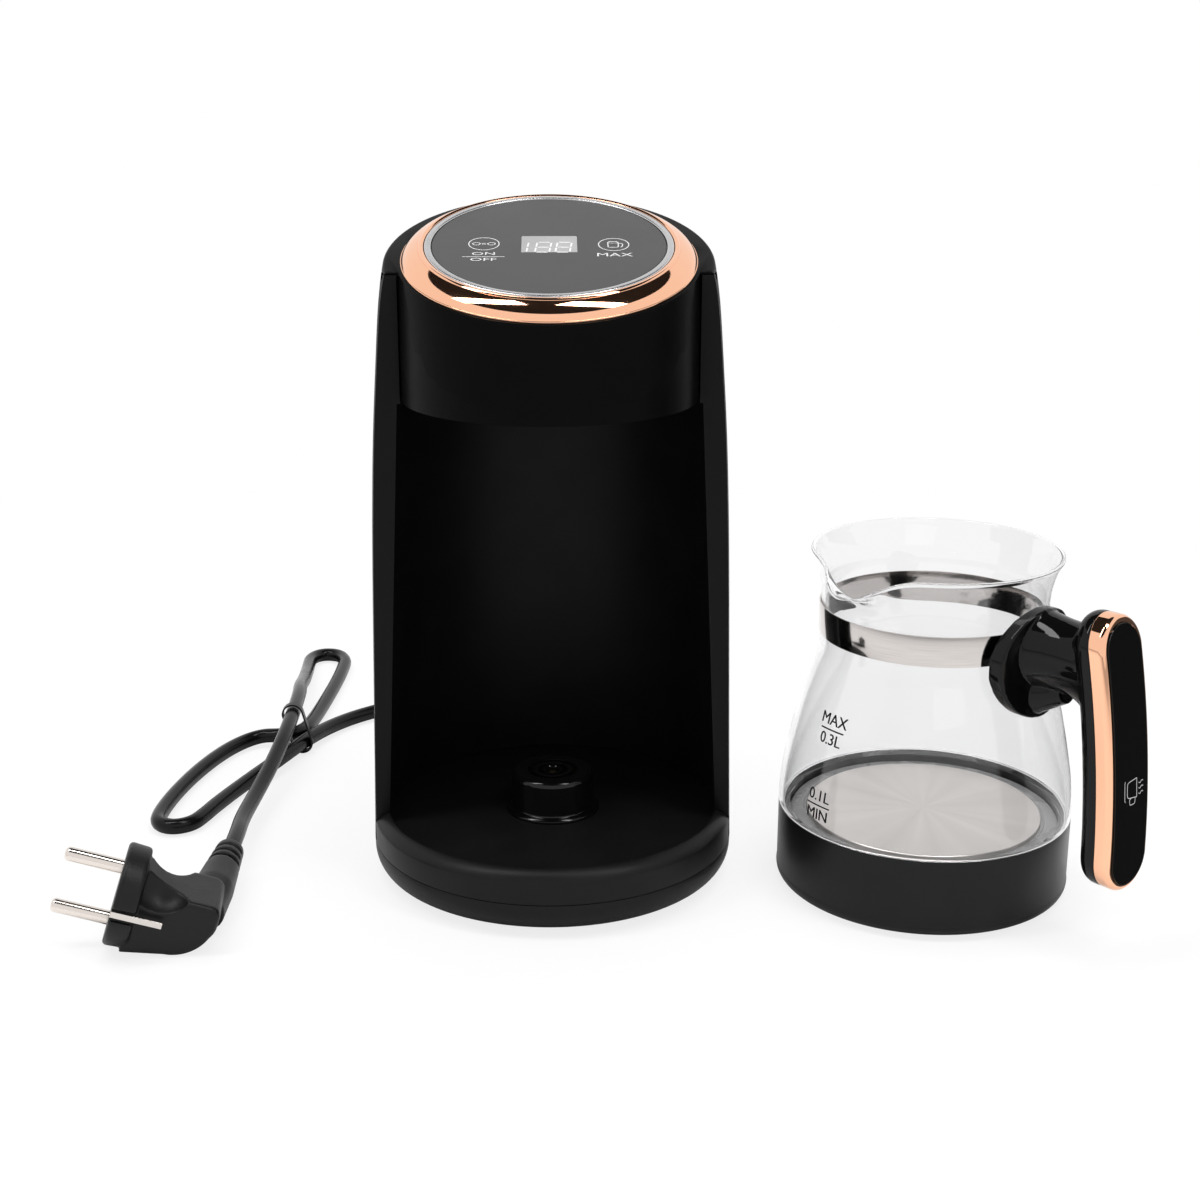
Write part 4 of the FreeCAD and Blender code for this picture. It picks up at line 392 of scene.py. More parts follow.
class Finishes:
    """Every finish of the appliance, each built when it is first used."""

    CARAFE_CENTRE = (131.3 * MM, -17.5 * MM, 0.0)
    SPECS: dict[str, Moulded | Polished | Brushed | ClearGlass | Printed] = {spec.name: spec for spec in (
        Moulded("matte_black", (0.0036, 0.0036, 0.0037), (0.40, 0.50), bump_strength=0.35,
                specular=0.11),
        # Painted shade: the casing's black plastic made darker for the head's round front, which gets less
        # light.
        Moulded("drum_black", (0.0014, 0.0014, 0.0014), (0.34, 0.42), bump_strength=0.3,
                specular=0.05),
        # Painted light: the casing's black plastic made lighter for the tray and pan, whose upward faces
        # catch more light.
        Moulded("tray_black", (0.0064, 0.0064, 0.0065), (0.36, 0.46), bump_strength=0.35,
                specular=0.15),
        Polished("dock_black", (0.003, 0.003, 0.003), (0.1, 0.18), 0.0, specular=0.3),
        Moulded("satin_black", (0.0050, 0.0050, 0.0052), (0.28, 0.36), bump_strength=0.15,
                specular=0.2),
        Polished("gloss_black", (0.0030, 0.0030, 0.0032), (0.03, 0.07), 0.0, specular=0.2),
        Polished("rose_gold", (0.96, 0.53, 0.34), (0.035, 0.07)),
        Polished("bright_silver", (0.60, 0.60, 0.61), (0.2, 0.28)),
        Moulded("panel_grey", (0.054, 0.054, 0.054), (0.38, 0.46), 3800.0, bump_strength=0.2,
                tone_spread=0.04, specular=0.3),
        Moulded("display_smoke", (0.31, 0.31, 0.31), (0.2, 0.26), bump_strength=0.0,
                tone_spread=0.1),
        Moulded("rubber_black", (0.014, 0.014, 0.014), (0.6, 0.75)),
        Moulded("cord_black", (0.0040, 0.0040, 0.0042), (0.2, 0.28), 1900.0, bump_strength=0.12,
                specular=0.18),
        Moulded("plug_black", (0.0050, 0.0050, 0.0052), (0.34, 0.46), 1000.0, 0.0001, 0.6,
                specular=0.24),
        Brushed("steel_screw", (0.52, 0.52, 0.53), (0.0, 0.0, 0.0)),
        Polished("pin_nickel", (0.74, 0.68, 0.63), (0.15, 0.2)),
        # Painted shade: the pins' nickel made darker for the side contacts, to dim the bright floor that they
        # mirror.
        Polished("strip_nickel_painted_shade", (0.62, 0.58, 0.55), (0.12, 0.2)),
        Polished("contact_brass", (0.72, 0.56, 0.30), (0.15, 0.3)),
        Moulded("board_green", (0.02, 0.11, 0.05), (0.3, 0.45)),
        Moulded("component_black", (0.02, 0.02, 0.02), (0.4, 0.6)),
        Moulded("component_blue", (0.03, 0.08, 0.30), (0.3, 0.4)),
        Moulded("component_orange", (0.45, 0.26, 0.07), (0.4, 0.6)),
        Brushed("aluminium", (0.75, 0.76, 0.77), CARAFE_CENTRE),
        Moulded("wire_insulation", (0.30, 0.03, 0.02), (0.4, 0.5)),
        ClearGlass("clear_glass"),
        Brushed("band_steel", (0.60, 0.565, 0.545), CARAFE_CENTRE, (0.06, 0.13), 3.0, 6000.0),
        # Heating plate: so few broad lines that its tone varies in wide radial wedges, a painted sheen of
        # turned steel.
        Brushed("plate_steel", (0.70, 0.665, 0.64), CARAFE_CENTRE, (0.3, 0.4), 2.6, 1.6,
                (0.88, 1.07)),
        Moulded("seal_silicone", (0.19, 0.19, 0.19), (0.22, 0.32), bump_strength=0.05),
        Brushed("element_steel", (0.42, 0.41, 0.40), CARAFE_CENTRE),
        Moulded("ceramic_white", (0.72, 0.70, 0.66), (0.3, 0.5)),
        Printed("print_white", (0.62, 0.62, 0.62)),
        Printed("print_black", (0.002, 0.002, 0.002), 0.1),
        Printed("segment_pale", (0.64, 0.64, 0.64)),
    )}
    _made: dict[str, bpy.types.Material] = {}

    @classmethod
    def get(cls, name: str) -> bpy.types.Material:
        """Return the named finish."""
        if name not in cls._made:
            cls._made[name] = cls.SPECS[name].build()
        return cls._made[name]


# ------------------------------------------------------------------------------ mesh building
def flattened(carrier: bpy.types.Object) -> bpy.types.Mesh:
    """Plain mesh of an object as it is after its modifiers; the object is removed."""
    graph = bpy.context.evaluated_depsgraph_get()
    mesh = bpy.data.meshes.new_from_object(carrier.evaluated_get(graph))
    bpy.data.objects.remove(carrier)
    return mesh


def evaluated(mesh: bpy.types.Mesh, modifiers: Sequence[tuple[str, dict[str, object]]]) -> bpy.types.Mesh:
    """Mesh as it is after a chain of modifiers.

    Args:
        mesh: The mesh to start from.
        modifiers: Each modifier's type and the values of its settings.

    Returns:
        A new plain mesh.
    """
    carrier = in_scene("carrier", mesh)
    for kind, values in modifiers:
        modifier = carrier.modifiers.new(kind.lower(), kind)
        for label, value in values.items():
            setattr(modifier, label, value)
    return flattened(carrier)


def add_piece(name: str, mesh: bpy.types.Mesh, finish: str, body: str, slot: str,
              stands_for: Sequence[str] = (), sharp_degrees: float = SHARP_DEGREES,
              weighted: bool = False) -> bpy.types.Object:
    """Link a finished mesh as a piece that rides on a body.

    Args:
        name: The piece's name.
        mesh: Its mesh, with its place in its vertices.
        finish: Name of its finish.
        body: The body that it rides on.
        slot: The record's material slot; not used.
        stands_for: CAD nodes that it replaces.
        sharp_degrees: Edges sharper than this stay hard.
        weighted: True to let large faces steer the shading at their borders.

    Returns:
        The object.
    """
    mesh.materials.clear()
    mesh.materials.append(Finishes.get(finish))
    mesh.shade_smooth()
    mesh.set_sharp_from_angle(angle=math.radians(sharp_degrees))
    if weighted:
        mesh = evaluated(mesh, [("WEIGHTED_NORMAL", {"keep_sharp": True, "weight": 50})])
    mesh.name = name
    piece = in_scene(name, mesh)
    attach(piece, body)
    if stands_for:
        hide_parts(*stands_for)
    log.info("piece %s: %d faces", name, len(mesh.polygons))
    return piece


def finished(shape: bmesh.types.BMesh, name: str, place: Matrix | None = None) -> bpy.types.Mesh:
    """Turn a bmesh into a mesh with its faces outwards.

    Args:
        shape: The bmesh, which is freed.
        name: Name of the mesh.
        place: Transform to its place, in metres.

    Returns:
        The mesh.
    """
    bmesh.ops.recalc_face_normals(shape, faces=shape.faces)
    mesh = bpy.data.meshes.new(name)
    shape.to_mesh(mesh)
    shape.free()
    if place is not None:
        mesh.transform(place)
    return mesh


def bridge(shape: bmesh.types.BMesh, near: Sequence[bmesh.types.BMVert],
           far: Sequence[bmesh.types.BMVert]) -> None:
    """Add the faces between two closed rings that have as many vertices."""
    count = len(near)
    for i in range(count):
        j = (i + 1) % count
        shape.faces.new((near[i], near[j], far[j], far[i]))


def oval(centre: Point2, radius: float, squash: float, sides: int) -> list[Point2]:
    """Points of a circle whose height is squashed."""
    turns = (2 * math.pi * i / sides for i in range(sides))
    return [(centre[0] + radius * math.cos(a), centre[1] + radius * squash * math.sin(a)) for a in turns]


def joined(meshes: Iterable[bpy.types.Mesh], name: str) -> bpy.types.Mesh:
    """One mesh that holds all of the given meshes."""
    shape = bmesh.new()
    for mesh in meshes:
        shape.from_mesh(mesh)
    return finished(shape, name)


def rounded_outline(corners: Sequence[tuple[float, float, float]], steps: int = 5) -> list[Point2]:
    """Points of a closed outline whose corners are rounded.

    Args:
        corners: Each corner as (x, y, radius), in millimetres.
        steps: Number of chords in each rounded corner.

    Returns:
        The outline's points in millimetres.
    """
    points: list[Point2] = []
    count = len(corners)
    for index, (x, y, radius) in enumerate(corners):
        here = Vector((x, y))
        if radius <= 0:
            points.append((x, y))
            continue
        before = Vector(corners[index - 1][:2])
        after = Vector(corners[(index + 1) % count][:2])
        turn = (here - before).angle(after - here)
        reach = min(radius * math.tan(turn / 2), (here - before).length * 0.49, (after - here).length * 0.49)
        start = here - (here - before).normalized() * reach
        end = here + (after - here).normalized() * reach
        for step in range(steps + 1):
            t = step / steps
            point = start * (1 - t) ** 2 + here * 2 * t * (1 - t) + end * t * t
            points.append((point.x, point.y))
    return points


def lathe(outline: Sequence[Point2], segments: int = 160, place: Matrix | None = None,
          wave: Callable[[float, float, float], Point2] | None = None) -> bpy.types.Mesh:
    """Mesh of an outline turned about Z.

    Args:
        outline: Closed loop of (r, z) points in millimetres, without the first point repeated.
        segments: Faces round the axis.
        place: Transform to the object's place, in metres.
        wave: Changes (r, z) at an angle, for outlines that aren't round everywhere.

    Returns:
        A closed mesh, in metres, with its faces outwards.
    """
    shape = bmesh.new()
    rings = []
    for row in range(segments):
        angle = 2 * math.pi * row / segments
        ring = []
        for r, z in outline:
            if wave is not None:
                r, z = wave(r, z, angle)
            ring.append(shape.verts.new((r * MM * math.cos(angle), r * MM * math.sin(angle), z * MM)))
        rings.append(ring)
    for row in range(segments):
        bridge(shape, rings[row], rings[(row + 1) % segments])
    bmesh.ops.remove_doubles(shape, verts=shape.verts, dist=1e-7)
    bmesh.ops.dissolve_degenerate(shape, edges=shape.edges, dist=1e-8)
    return finished(shape, "turned", place)


def merged_copy(node: str, bevel: float = 0.0) -> bpy.types.Mesh:
    """Welded copy of a CAD node's mesh, with its sharp edges broken by a small bevel.

    Args:
        node: Name of the CAD node.
        bevel: Width of the bevel in millimetres, 0 for none.

    Returns:
        The new mesh.
    """
    shape = bmesh.new()
    shape.from_mesh(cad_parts[node].data)
    bmesh.ops.remove_doubles(shape, verts=shape.verts, dist=WELD)
    bmesh.ops.dissolve_degenerate(shape, edges=shape.edges, dist=DEGENERATE)
    bmesh.ops.dissolve_limit(shape, angle_limit=math.radians(FLAT_DEGREES), verts=shape.verts,
                             edges=shape.edges)
    if bevel > 0:
        sharp = [e for e in shape.edges if len(e.link_faces) == 2
                 and e.calc_face_angle(0.0) > math.radians(BEVEL_DEGREES)]
        bmesh.ops.bevel(shape, geom=sharp, offset=bevel * MM, segments=2, profile=0.6,
                        affect="EDGES", clamp_overlap=True, offset_type="OFFSET")
    mesh = bpy.data.meshes.new(node)
    shape.to_mesh(mesh)
    shape.free()
    return mesh


def softened(node: str, voxel: float, rounds: int) -> bpy.types.Mesh:
    """Copy of a CAD node whose faces flow into each other, as a mould leaves them.

    Args:
        node: Name of the CAD node.
        voxel: Size of the mesh's cells in millimetres.
        rounds: How often the mesh is smoothed.

    Returns:
        The new mesh.
    """
    return evaluated(merged_copy(node), [
        ("REMESH", {"mode": "VOXEL", "voxel_size": voxel * MM, "use_smooth_shade": True}),
        ("SMOOTH", {"factor": 0.5, "iterations": rounds}),
    ])


def exact_normals(mesh: bpy.types.Mesh, surface: Callable[[Vector], Vector | None]) -> bpy.types.Mesh:
    """Give a surface its true normals, so that long thin faces don't streak it.

    Args:
        mesh: The mesh, already shaded.
        surface: Returns the outward normal at a point in metres, or None off the surface.

    Returns:
        The same mesh.
    """
    flat = Vector((0.0, 0.0, 0.0))
    normals = [flat] * len(mesh.loops)
    for face in mesh.polygons:
        found = [surface(mesh.vertices[mesh.loops[i].vertex_index].co) for i in face.loop_indices]
        if all(n is not None and n.dot(face.normal) > 0.97 for n in found):
            for index, normal in zip(face.loop_indices, found):
                normals[index] = normal
    mesh.normals_split_custom_set([tuple(n) for n in normals])
    return mesh


def ribbon(points: Sequence[Point2], width: float, closed: bool = False,
           thickness: float = INK) -> bpy.types.Mesh:
    """Thin printed line along a run of points in the X-Y plane.

    Args:
        points: The line's points in millimetres.
        width: Width of the line.
        closed: True if its end meets its start.
        thickness: Height of the ink.

    Returns:
        A closed mesh in millimetres, its underside at height 0.
    """
    shape = bmesh.new()
    count = len(points)
    rows = []
    for i, (x, y) in enumerate(points):
        before = points[i - 1] if closed or i > 0 else points[i]
        after = points[(i + 1) % count] if closed or i < count - 1 else points[i]
        along = Vector((after[0] - before[0], after[1] - before[1])).normalized()
        side = Vector((-along.y, along.x)) * width / 2
        rows.append([shape.verts.new((x + s * side.x, y + s * side.y, z))
                     for s, z in ((-1, 0), (1, 0), (1, thickness), (-1, thickness))])
    for i in range(count if closed else count - 1):
        bridge(shape, rows[i], rows[(i + 1) % count])
    if not closed:
        shape.faces.new(rows[0])
        shape.faces.new(list(reversed(rows[-1])))
    return finished(shape, "ribbon")


def lettering(text: str, height: float, spread: float, thickness: float = INK,
              weight: float = 0.0) -> bpy.types.Mesh:
    """Plain printed characters, centred on the origin.

    Args:
        text: The characters.
        height: Height of a capital in millimetres.
        spread: Width of the characters against their usual width.
        thickness: Height of the ink.
        weight: How far the strokes grow to the left and right.

    Returns:
        A closed mesh in millimetres, its underside at height 0.
    """
    data = bpy.data.curves.new("text", "FONT")
    data.body = text
    data.align_x = "CENTER"
    data.align_y = "CENTER"
    data.size = height / CAPITAL_SHARE
    data.extrude = thickness / 2
    data.resolution_u = 4
    mesh = flattened(in_scene("text", data))
    mesh.transform(Matrix.Translation((0, 0, thickness / 2)) @ Matrix.Diagonal((spread, 1, 1, 1)))
    shape = bmesh.new()
    shape.from_mesh(mesh)
    bmesh.ops.remove_doubles(shape, verts=shape.verts, dist=1e-4)
    letters = finished(shape, "lettering")
    if weight <= 0:
        return letters
    copies = [letters.copy(), letters.copy()]
    for copy, shift in zip(copies, (-weight, weight)):
        copy.transform(Matrix.Translation((shift, 0, 0)))
    return joined(copies, "lettering")


def wrapped(mesh: bpy.types.Mesh, place: Callable[[float, float, float], Vector]) -> bpy.types.Mesh:
    """Move each vertex of a flat print to its place on a curved face.

    Args:
        mesh: The print, in millimetres.
        place: Gives the place in metres of a point of the print.

    Returns:
        The same mesh.
    """
    for vertex in mesh.vertices:
        vertex.co = place(*vertex.co)
    return mesh


# ------------------------------------------------------------------------------ node recipes
class Recipe:
    """A Geometry Nodes tree with named inputs that ends in plain geometry with one finish."""

    def __init__(self, name: str) -> None:
        self.tree = bpy.data.node_groups.new(name, "GeometryNodeTree")
        self.tree.is_modifier = True
        self.tree.interface.new_socket("Geometry", in_out="INPUT", socket_type="NodeSocketGeometry")
        self.tree.interface.new_socket("Geometry", in_out="OUTPUT", socket_type="NodeSocketGeometry")
        self.source = self.tree.nodes.new("NodeGroupInput")
        self.sink = self.tree.nodes.new("NodeGroupOutput")

    def value(self, label: str, kind: str, default: float | int | None = None) -> bpy.types.NodeSocket:
        """Add a named input.

        Args:
            label: The input's name.
            kind: Float, Int or Object.
            default: Its value until a modifier sets it.

        Returns:
            The socket to link from.
        """
        socket = self.tree.interface.new_socket(label, in_out="INPUT", socket_type=f"NodeSocket{kind}")
        if default is not None:
            socket.default_value = default
        return self.source.outputs[label]

    def add(self, kind: str, values: dict[str | int, object] | None = None,
            **settings: object) -> bpy.types.Node:
        """Add a node to the recipe's tree, as add_node does."""
        return add_node(self.tree, kind, values, **settings)

    def close(self, geometry: bpy.types.NodeSocket, finish: str) -> None:
        """Realize the instances, set the finish and end the tree."""
        real = self.add("GeometryNodeRealizeInstances", {"Geometry": geometry})
        dressed = self.add("GeometryNodeSetMaterial", {"Geometry": real.outputs[0],
                                                       "Material": Finishes.get(finish)})
        self.tree.links.new(dressed.outputs[0], self.sink.inputs[0])

    def run(self, values: dict[str, object], anchors: bpy.types.Mesh | None = None) -> bpy.types.Mesh:
        """Evaluate the tree on a mesh and keep the result as a plain mesh.

        Args:
            values: Value of each named input.
            anchors: Mesh that enters the tree.

        Returns:
            The plain mesh.
        """
        carrier = in_scene("carrier", anchors or bpy.data.meshes.new("anchors"))
        modifier = carrier.modifiers.new("recipe", "NODES")
        modifier.node_group = self.tree
        for item in self.tree.interface.items_tree:
            if item.item_type == "SOCKET" and item.in_out == "INPUT" and item.name in values:
                modifier[item.identifier] = values[item.name]
        return flattened(carrier)


def anchor_points(places: Sequence[Point3], turns: Sequence[float] = ()) -> bpy.types.Mesh:
    """Loose vertices at the given places in metres, each with a turn about Z in radians."""
    mesh = bpy.data.meshes.new("anchors")
    mesh.from_pydata([tuple(p) for p in places], [], [])
    if turns:
        layer = mesh.attributes.new("turn", "FLOAT", "POINT")
        layer.data.foreach_set("value", list(turns))
    return mesh


class Recipes:
    """The appliance's Geometry Nodes trees."""

    @staticmethod
    def segments(finish: str) -> Recipe:
        """Bars of a digital display: one rounded bar on each anchor, turned as the anchor says."""
        recipe = Recipe("display_bars")
        length = recipe.value("Bar Length", "Float", 2.5 * MM)
        width = recipe.value("Bar Width", "Float", 0.5 * MM)
        height = recipe.value("Bar Height", "Float", 0.03 * MM)
        outline = recipe.add("GeometryNodeCurvePrimitiveQuadrilateral", {"Width": length, "Height": width})
        radius = recipe.add("ShaderNodeMath", {0: width, 1: 0.45}, operation="MULTIPLY")
        soft = recipe.add("GeometryNodeFilletCurve", {"Curve": outline.outputs[0], "Count": 4,
                                                      "Radius": radius.outputs[0]}, mode="POLY")
        face = recipe.add("GeometryNodeFillCurve", {"Curve": soft.outputs[0]}, mode="NGONS")
        raised = recipe.add("GeometryNodeExtrudeMesh", {"Mesh": face.outputs[0], "Offset Scale": height,
                                                        "Individual": False})
        under = recipe.add("GeometryNodeFlipFaces", {"Mesh": face.outputs[0]})
        both = recipe.add("GeometryNodeJoinGeometry")
        recipe.tree.links.new(raised.outputs["Mesh"], both.inputs[0])
        recipe.tree.links.new(under.outputs[0], both.inputs[0])
        bar = recipe.add("GeometryNodeMergeByDistance", {"Geometry": both.outputs[0], "Distance": 1e-6})
        turn = recipe.add("GeometryNodeInputNamedAttribute", {"Name": "turn"}, data_type="FLOAT")
        euler = recipe.add("ShaderNodeCombineXYZ", {"Z": turn.outputs["Attribute"]})
        rotation = recipe.add("FunctionNodeEulerToRotation", {0: euler.outputs[0]})
        row = recipe.add("GeometryNodeInstanceOnPoints", {
            "Points": recipe.source.outputs["Geometry"], "Instance": bar.outputs[0],
            "Rotation": rotation.outputs[0]})
        recipe.close(row.outputs[0], finish)
        return recipe

    @staticmethod
    def ribs(finish: str) -> Recipe:
        """Ribs of a flexible sleeve: round rings in a row along Z, which shrink towards its tip."""
        recipe = Recipe("sleeve_ribs")
        count = recipe.value("Count", "Int", 5)
        pitch = recipe.value("Pitch", "Float", 4.5 * MM)
        near = recipe.value("Near Radius", "Float", 5.0 * MM)
        far = recipe.value("Far Radius", "Float", 3.6 * MM)
        share = recipe.value("Rib Share", "Float", 0.28)
        step = recipe.add("ShaderNodeCombineXYZ", {"Z": pitch})
        row = recipe.add("GeometryNodeMeshLine", {"Count": count, "Offset": step.outputs[0]}, mode="OFFSET")
        last = recipe.add("ShaderNodeMath", {0: count, 1: 1.0}, operation="SUBTRACT")
        index = recipe.add("GeometryNodeInputIndex")
        size = recipe.add("ShaderNodeMapRange", {"Value": index.outputs[0], "From Max": last.outputs[0],
                                                 "To Min": near, "To Max": far})
        path = recipe.add("GeometryNodeCurvePrimitiveCircle", {"Resolution": 48, "Radius": 1.0})
        section = recipe.add("GeometryNodeCurvePrimitiveCircle", {"Resolution": 14, "Radius": share})
        ring = recipe.add("GeometryNodeCurveToMesh", {"Curve": path.outputs[0],
                                                      "Profile Curve": section.outputs[0]})
        stack = recipe.add("GeometryNodeInstanceOnPoints", {
            "Points": row.outputs[0], "Instance": ring.outputs[0], "Scale": size.outputs["Result"]})
        recipe.close(stack.outputs[0], finish)
        return recipe

    @staticmethod
    def screws(finish: str) -> Recipe:
        """Screws on the anchors, each left at a different turn by the screwdriver."""
        recipe = Recipe("driven_screws")
        pattern = recipe.value("Screw", "Object")
        seed = recipe.value("Seed", "Int", 7)
        info = recipe.add("GeometryNodeObjectInfo", {"Object": pattern}, transform_space="ORIGINAL")
        turn = recipe.add("FunctionNodeRandomValue", {"Seed": seed}, data_type="FLOAT")
        angle = recipe.add("ShaderNodeMath", {0: turn.outputs[1], 1: 2 * math.pi}, operation="MULTIPLY")
        euler = recipe.add("ShaderNodeCombineXYZ", {"Z": angle.outputs[0]})
        rotation = recipe.add("FunctionNodeEulerToRotation", {0: euler.outputs[0]})
        placed = recipe.add("GeometryNodeInstanceOnPoints", {
            "Points": recipe.source.outputs["Geometry"], "Instance": info.outputs["Geometry"],
            "Rotation": rotation.outputs[0]})
        recipe.close(placed.outputs[0], finish)
        return recipe


# ------------------------------------------------------------------------------------- studio
@dataclass
class Studio:
    """Camera, floor, lamps, dark cards and world."""

    lens: float = 55.895
    place: Point3 = (-0.00036, -0.6243, 0.29193)
    pitch: float = 17.1921
    yaw: float = 1.5948
    roll: float = 0.10764
    sensor: float = 36.0
    floor_half: float = 6.0
    floor_drop: float = 0.0002
    floor_centre: Point3 = (0.03, 0.05, 0.0)
    glow_span: Point2 = (0.22, 0.62)
    near_glow: float = 0.8
    lighting_level: float = 0.5
    box_aim: Point3 = (0.0, 0.0, 0.2)
    wash_aim: Point3 = (0.03, 0.0, 0.1)
    ceiling_height: float = 1.45
    ceiling_radius: float = 1.14

    def camera(self) -> None:
        """Place the camera at the viewing angle."""
        data = bpy.data.cameras.new("camera")
        data.lens = self.lens
        data.sensor_width = self.sensor
        data.sensor_fit = "HORIZONTAL"
        data.clip_start = 0.01
        pitch, yaw, roll = (math.radians(v) for v in (self.pitch, self.yaw, self.roll))
        forward = Vector((math.sin(yaw) * math.cos(pitch), math.cos(yaw) * math.cos(pitch), -math.sin(pitch)))
        level = Vector((math.cos(yaw), -math.sin(yaw), 0.0))
        above = level.cross(forward)
        right = level * math.cos(roll) + above * math.sin(roll)
        up = above * math.cos(roll) - level * math.sin(roll)
        turn = Matrix((right, up, -forward)).transposed().to_4x4()
        camera = in_scene("camera", data)
        camera.matrix_world = Matrix.Translation(Vector(self.place)) @ turn
        bpy.context.scene.camera = camera

    @staticmethod
    def seen_rays(tree: bpy.types.ShaderNodeTree, glossy: bool) -> bpy.types.NodeSocket:
        """1 for rays that show a surface to the camera, straight, through glass or mirrored."""
        path = tree.nodes.new("ShaderNodeLightPath").outputs
        seen = add_math(tree, "MAXIMUM", path["Is Camera Ray"], path["Is Transmission Ray"])
        return add_math(tree, "MAXIMUM", seen, path["Is Glossy Ray"]) if glossy else seen

    def floor(self) -> None:
        """A plain pale floor that keeps the soft shadow of the object and turns white with distance."""
        half = self.floor_half
        mesh = bpy.data.meshes.new("floor")
        mesh.from_pydata([(-half, -half, 0), (half, -half, 0), (half, half, 0), (-half, half, 0)], [],
                         [(0, 1, 2, 3)])
        mesh.transform(Matrix.Translation((0, 0, -self.floor_drop)))
        floor = in_scene("floor", mesh)
        sheet = Sheet("floor_white")
        sheet.set(Base_Color=(0.9, 0.9, 0.9), Roughness=0.7, Specular_IOR_Level=0.2)
        glow = add_node(sheet.tree, "ShaderNodeEmission", {"Color": (1, 1, 1, 1)})
        distance = add_node(sheet.tree, "ShaderNodeVectorMath", {0: sheet.coordinates(self.floor_centre)},
                            operation="LENGTH")
        near, far = self.glow_span
        level = add_node(sheet.tree, "ShaderNodeMapRange", {
            "Value": distance.outputs["Value"], "From Min": near, "From Max": far,
            "To Min": self.near_glow, "To Max": 1.0}, interpolation_type="SMOOTHSTEP")
        share = add_math(sheet.tree, "MULTIPLY", self.seen_rays(sheet.tree, False), level.outputs["Result"])
        sheet.blend(share, glow.outputs[0])
        mesh.materials.append(sheet.material)

    def world(self) -> None:
        """White surroundings for what is seen and mirrored, softer for what is lit."""
        world = bpy.data.worlds.new("studio")
        bpy.context.scene.world = world
        world.use_nodes = True
        tree = world.node_tree
        background = next(n for n in tree.nodes if n.type == "BACKGROUND")
        background.inputs["Color"].default_value = (1, 1, 1, 1)
        level = add_node(tree, "ShaderNodeMapRange", {"Value": self.seen_rays(tree, True),
                                                      "To Min": self.lighting_level, "To Max": 1.0})
        tree.links.new(level.outputs["Result"], background.inputs["Strength"])

    @staticmethod
    def lamp(name: str, place: Point3, target: Point3, size: tuple[float, float], watts: float,
             mirrored: bool = True) -> None:
        """An oblong soft box that faces a point.

        Args:
            name: The lamp's name.
            place: Where it hangs.
            target: The point that it faces.
            size: Its width and height.
            watts: Its power.
            mirrored: True if polished pieces show it.
        """
        data = bpy.data.lights.new(name, "AREA")
        data.shape = "RECTANGLE"
        data.size, data.size_y = size
        data.energy = watts
        lamp = in_scene(name, data)
        turn = (Vector(target) - Vector(place)).to_track_quat("-Z", "Y").to_matrix().to_4x4()
        lamp.matrix_world = Matrix.Translation(Vector(place)) @ turn
        lamp.visible_glossy = mirrored

    @staticmethod
    def card(name: str, corners: Sequence[Point3], colour: Colour) -> None:
        """A dark card that only polished pieces mirror.

        Args:
            name: The card's name.
            corners: Its corners in metres.
            colour: Its colour.
        """
        mesh = bpy.data.meshes.new(name)
        mesh.from_pydata(list(corners), [], [tuple(range(len(corners)))])
        card = in_scene(name, mesh)
        sheet = Sheet(name)
        sheet.set(Base_Color=colour, Roughness=1.0, Specular_IOR_Level=0.0)
        mesh.materials.append(sheet.material)
        for ray in ("camera", "shadow", "diffuse", "transmission"):
            setattr(card, f"visible_{ray}", False)

    def build(self) -> None:
        """Set up the studio."""
        self.camera()
        self.floor()
        self.world()
        self.lamp("left_box", (-0.50, -0.135, 1.19), self.box_aim, (0.20, 0.76), 5.4)
        self.lamp("right_box", (0.38, -0.245, 1.22), self.box_aim, (0.19, 0.76), 5.1)
        self.lamp("top_wash", (0.05, 0.3, 1.2), self.wash_aim, (0.9, 0.6), 5.0, mirrored=False)
        self.lamp("front_wash", (0.25, -1.1, 0.55), self.wash_aim, (0.6, 0.5), 1.1, mirrored=False)
        ceiling = [(x, y, self.ceiling_height) for x, y in oval((0.0, 0.0), self.ceiling_radius, 1.0, 48)]
        self.card("ceiling_card", ceiling, (0.03, 0.03, 0.03))
        side = [(0.225, -0.11, 0.002), (0.9, -0.06, 0.36), (0.9, 0.4, 0.36), (0.225, 0.15, 0.002)]
        self.card("side_card", side, (0.06, 0.06, 0.06))
        bpy.context.scene.view_settings.view_transform = "Standard"


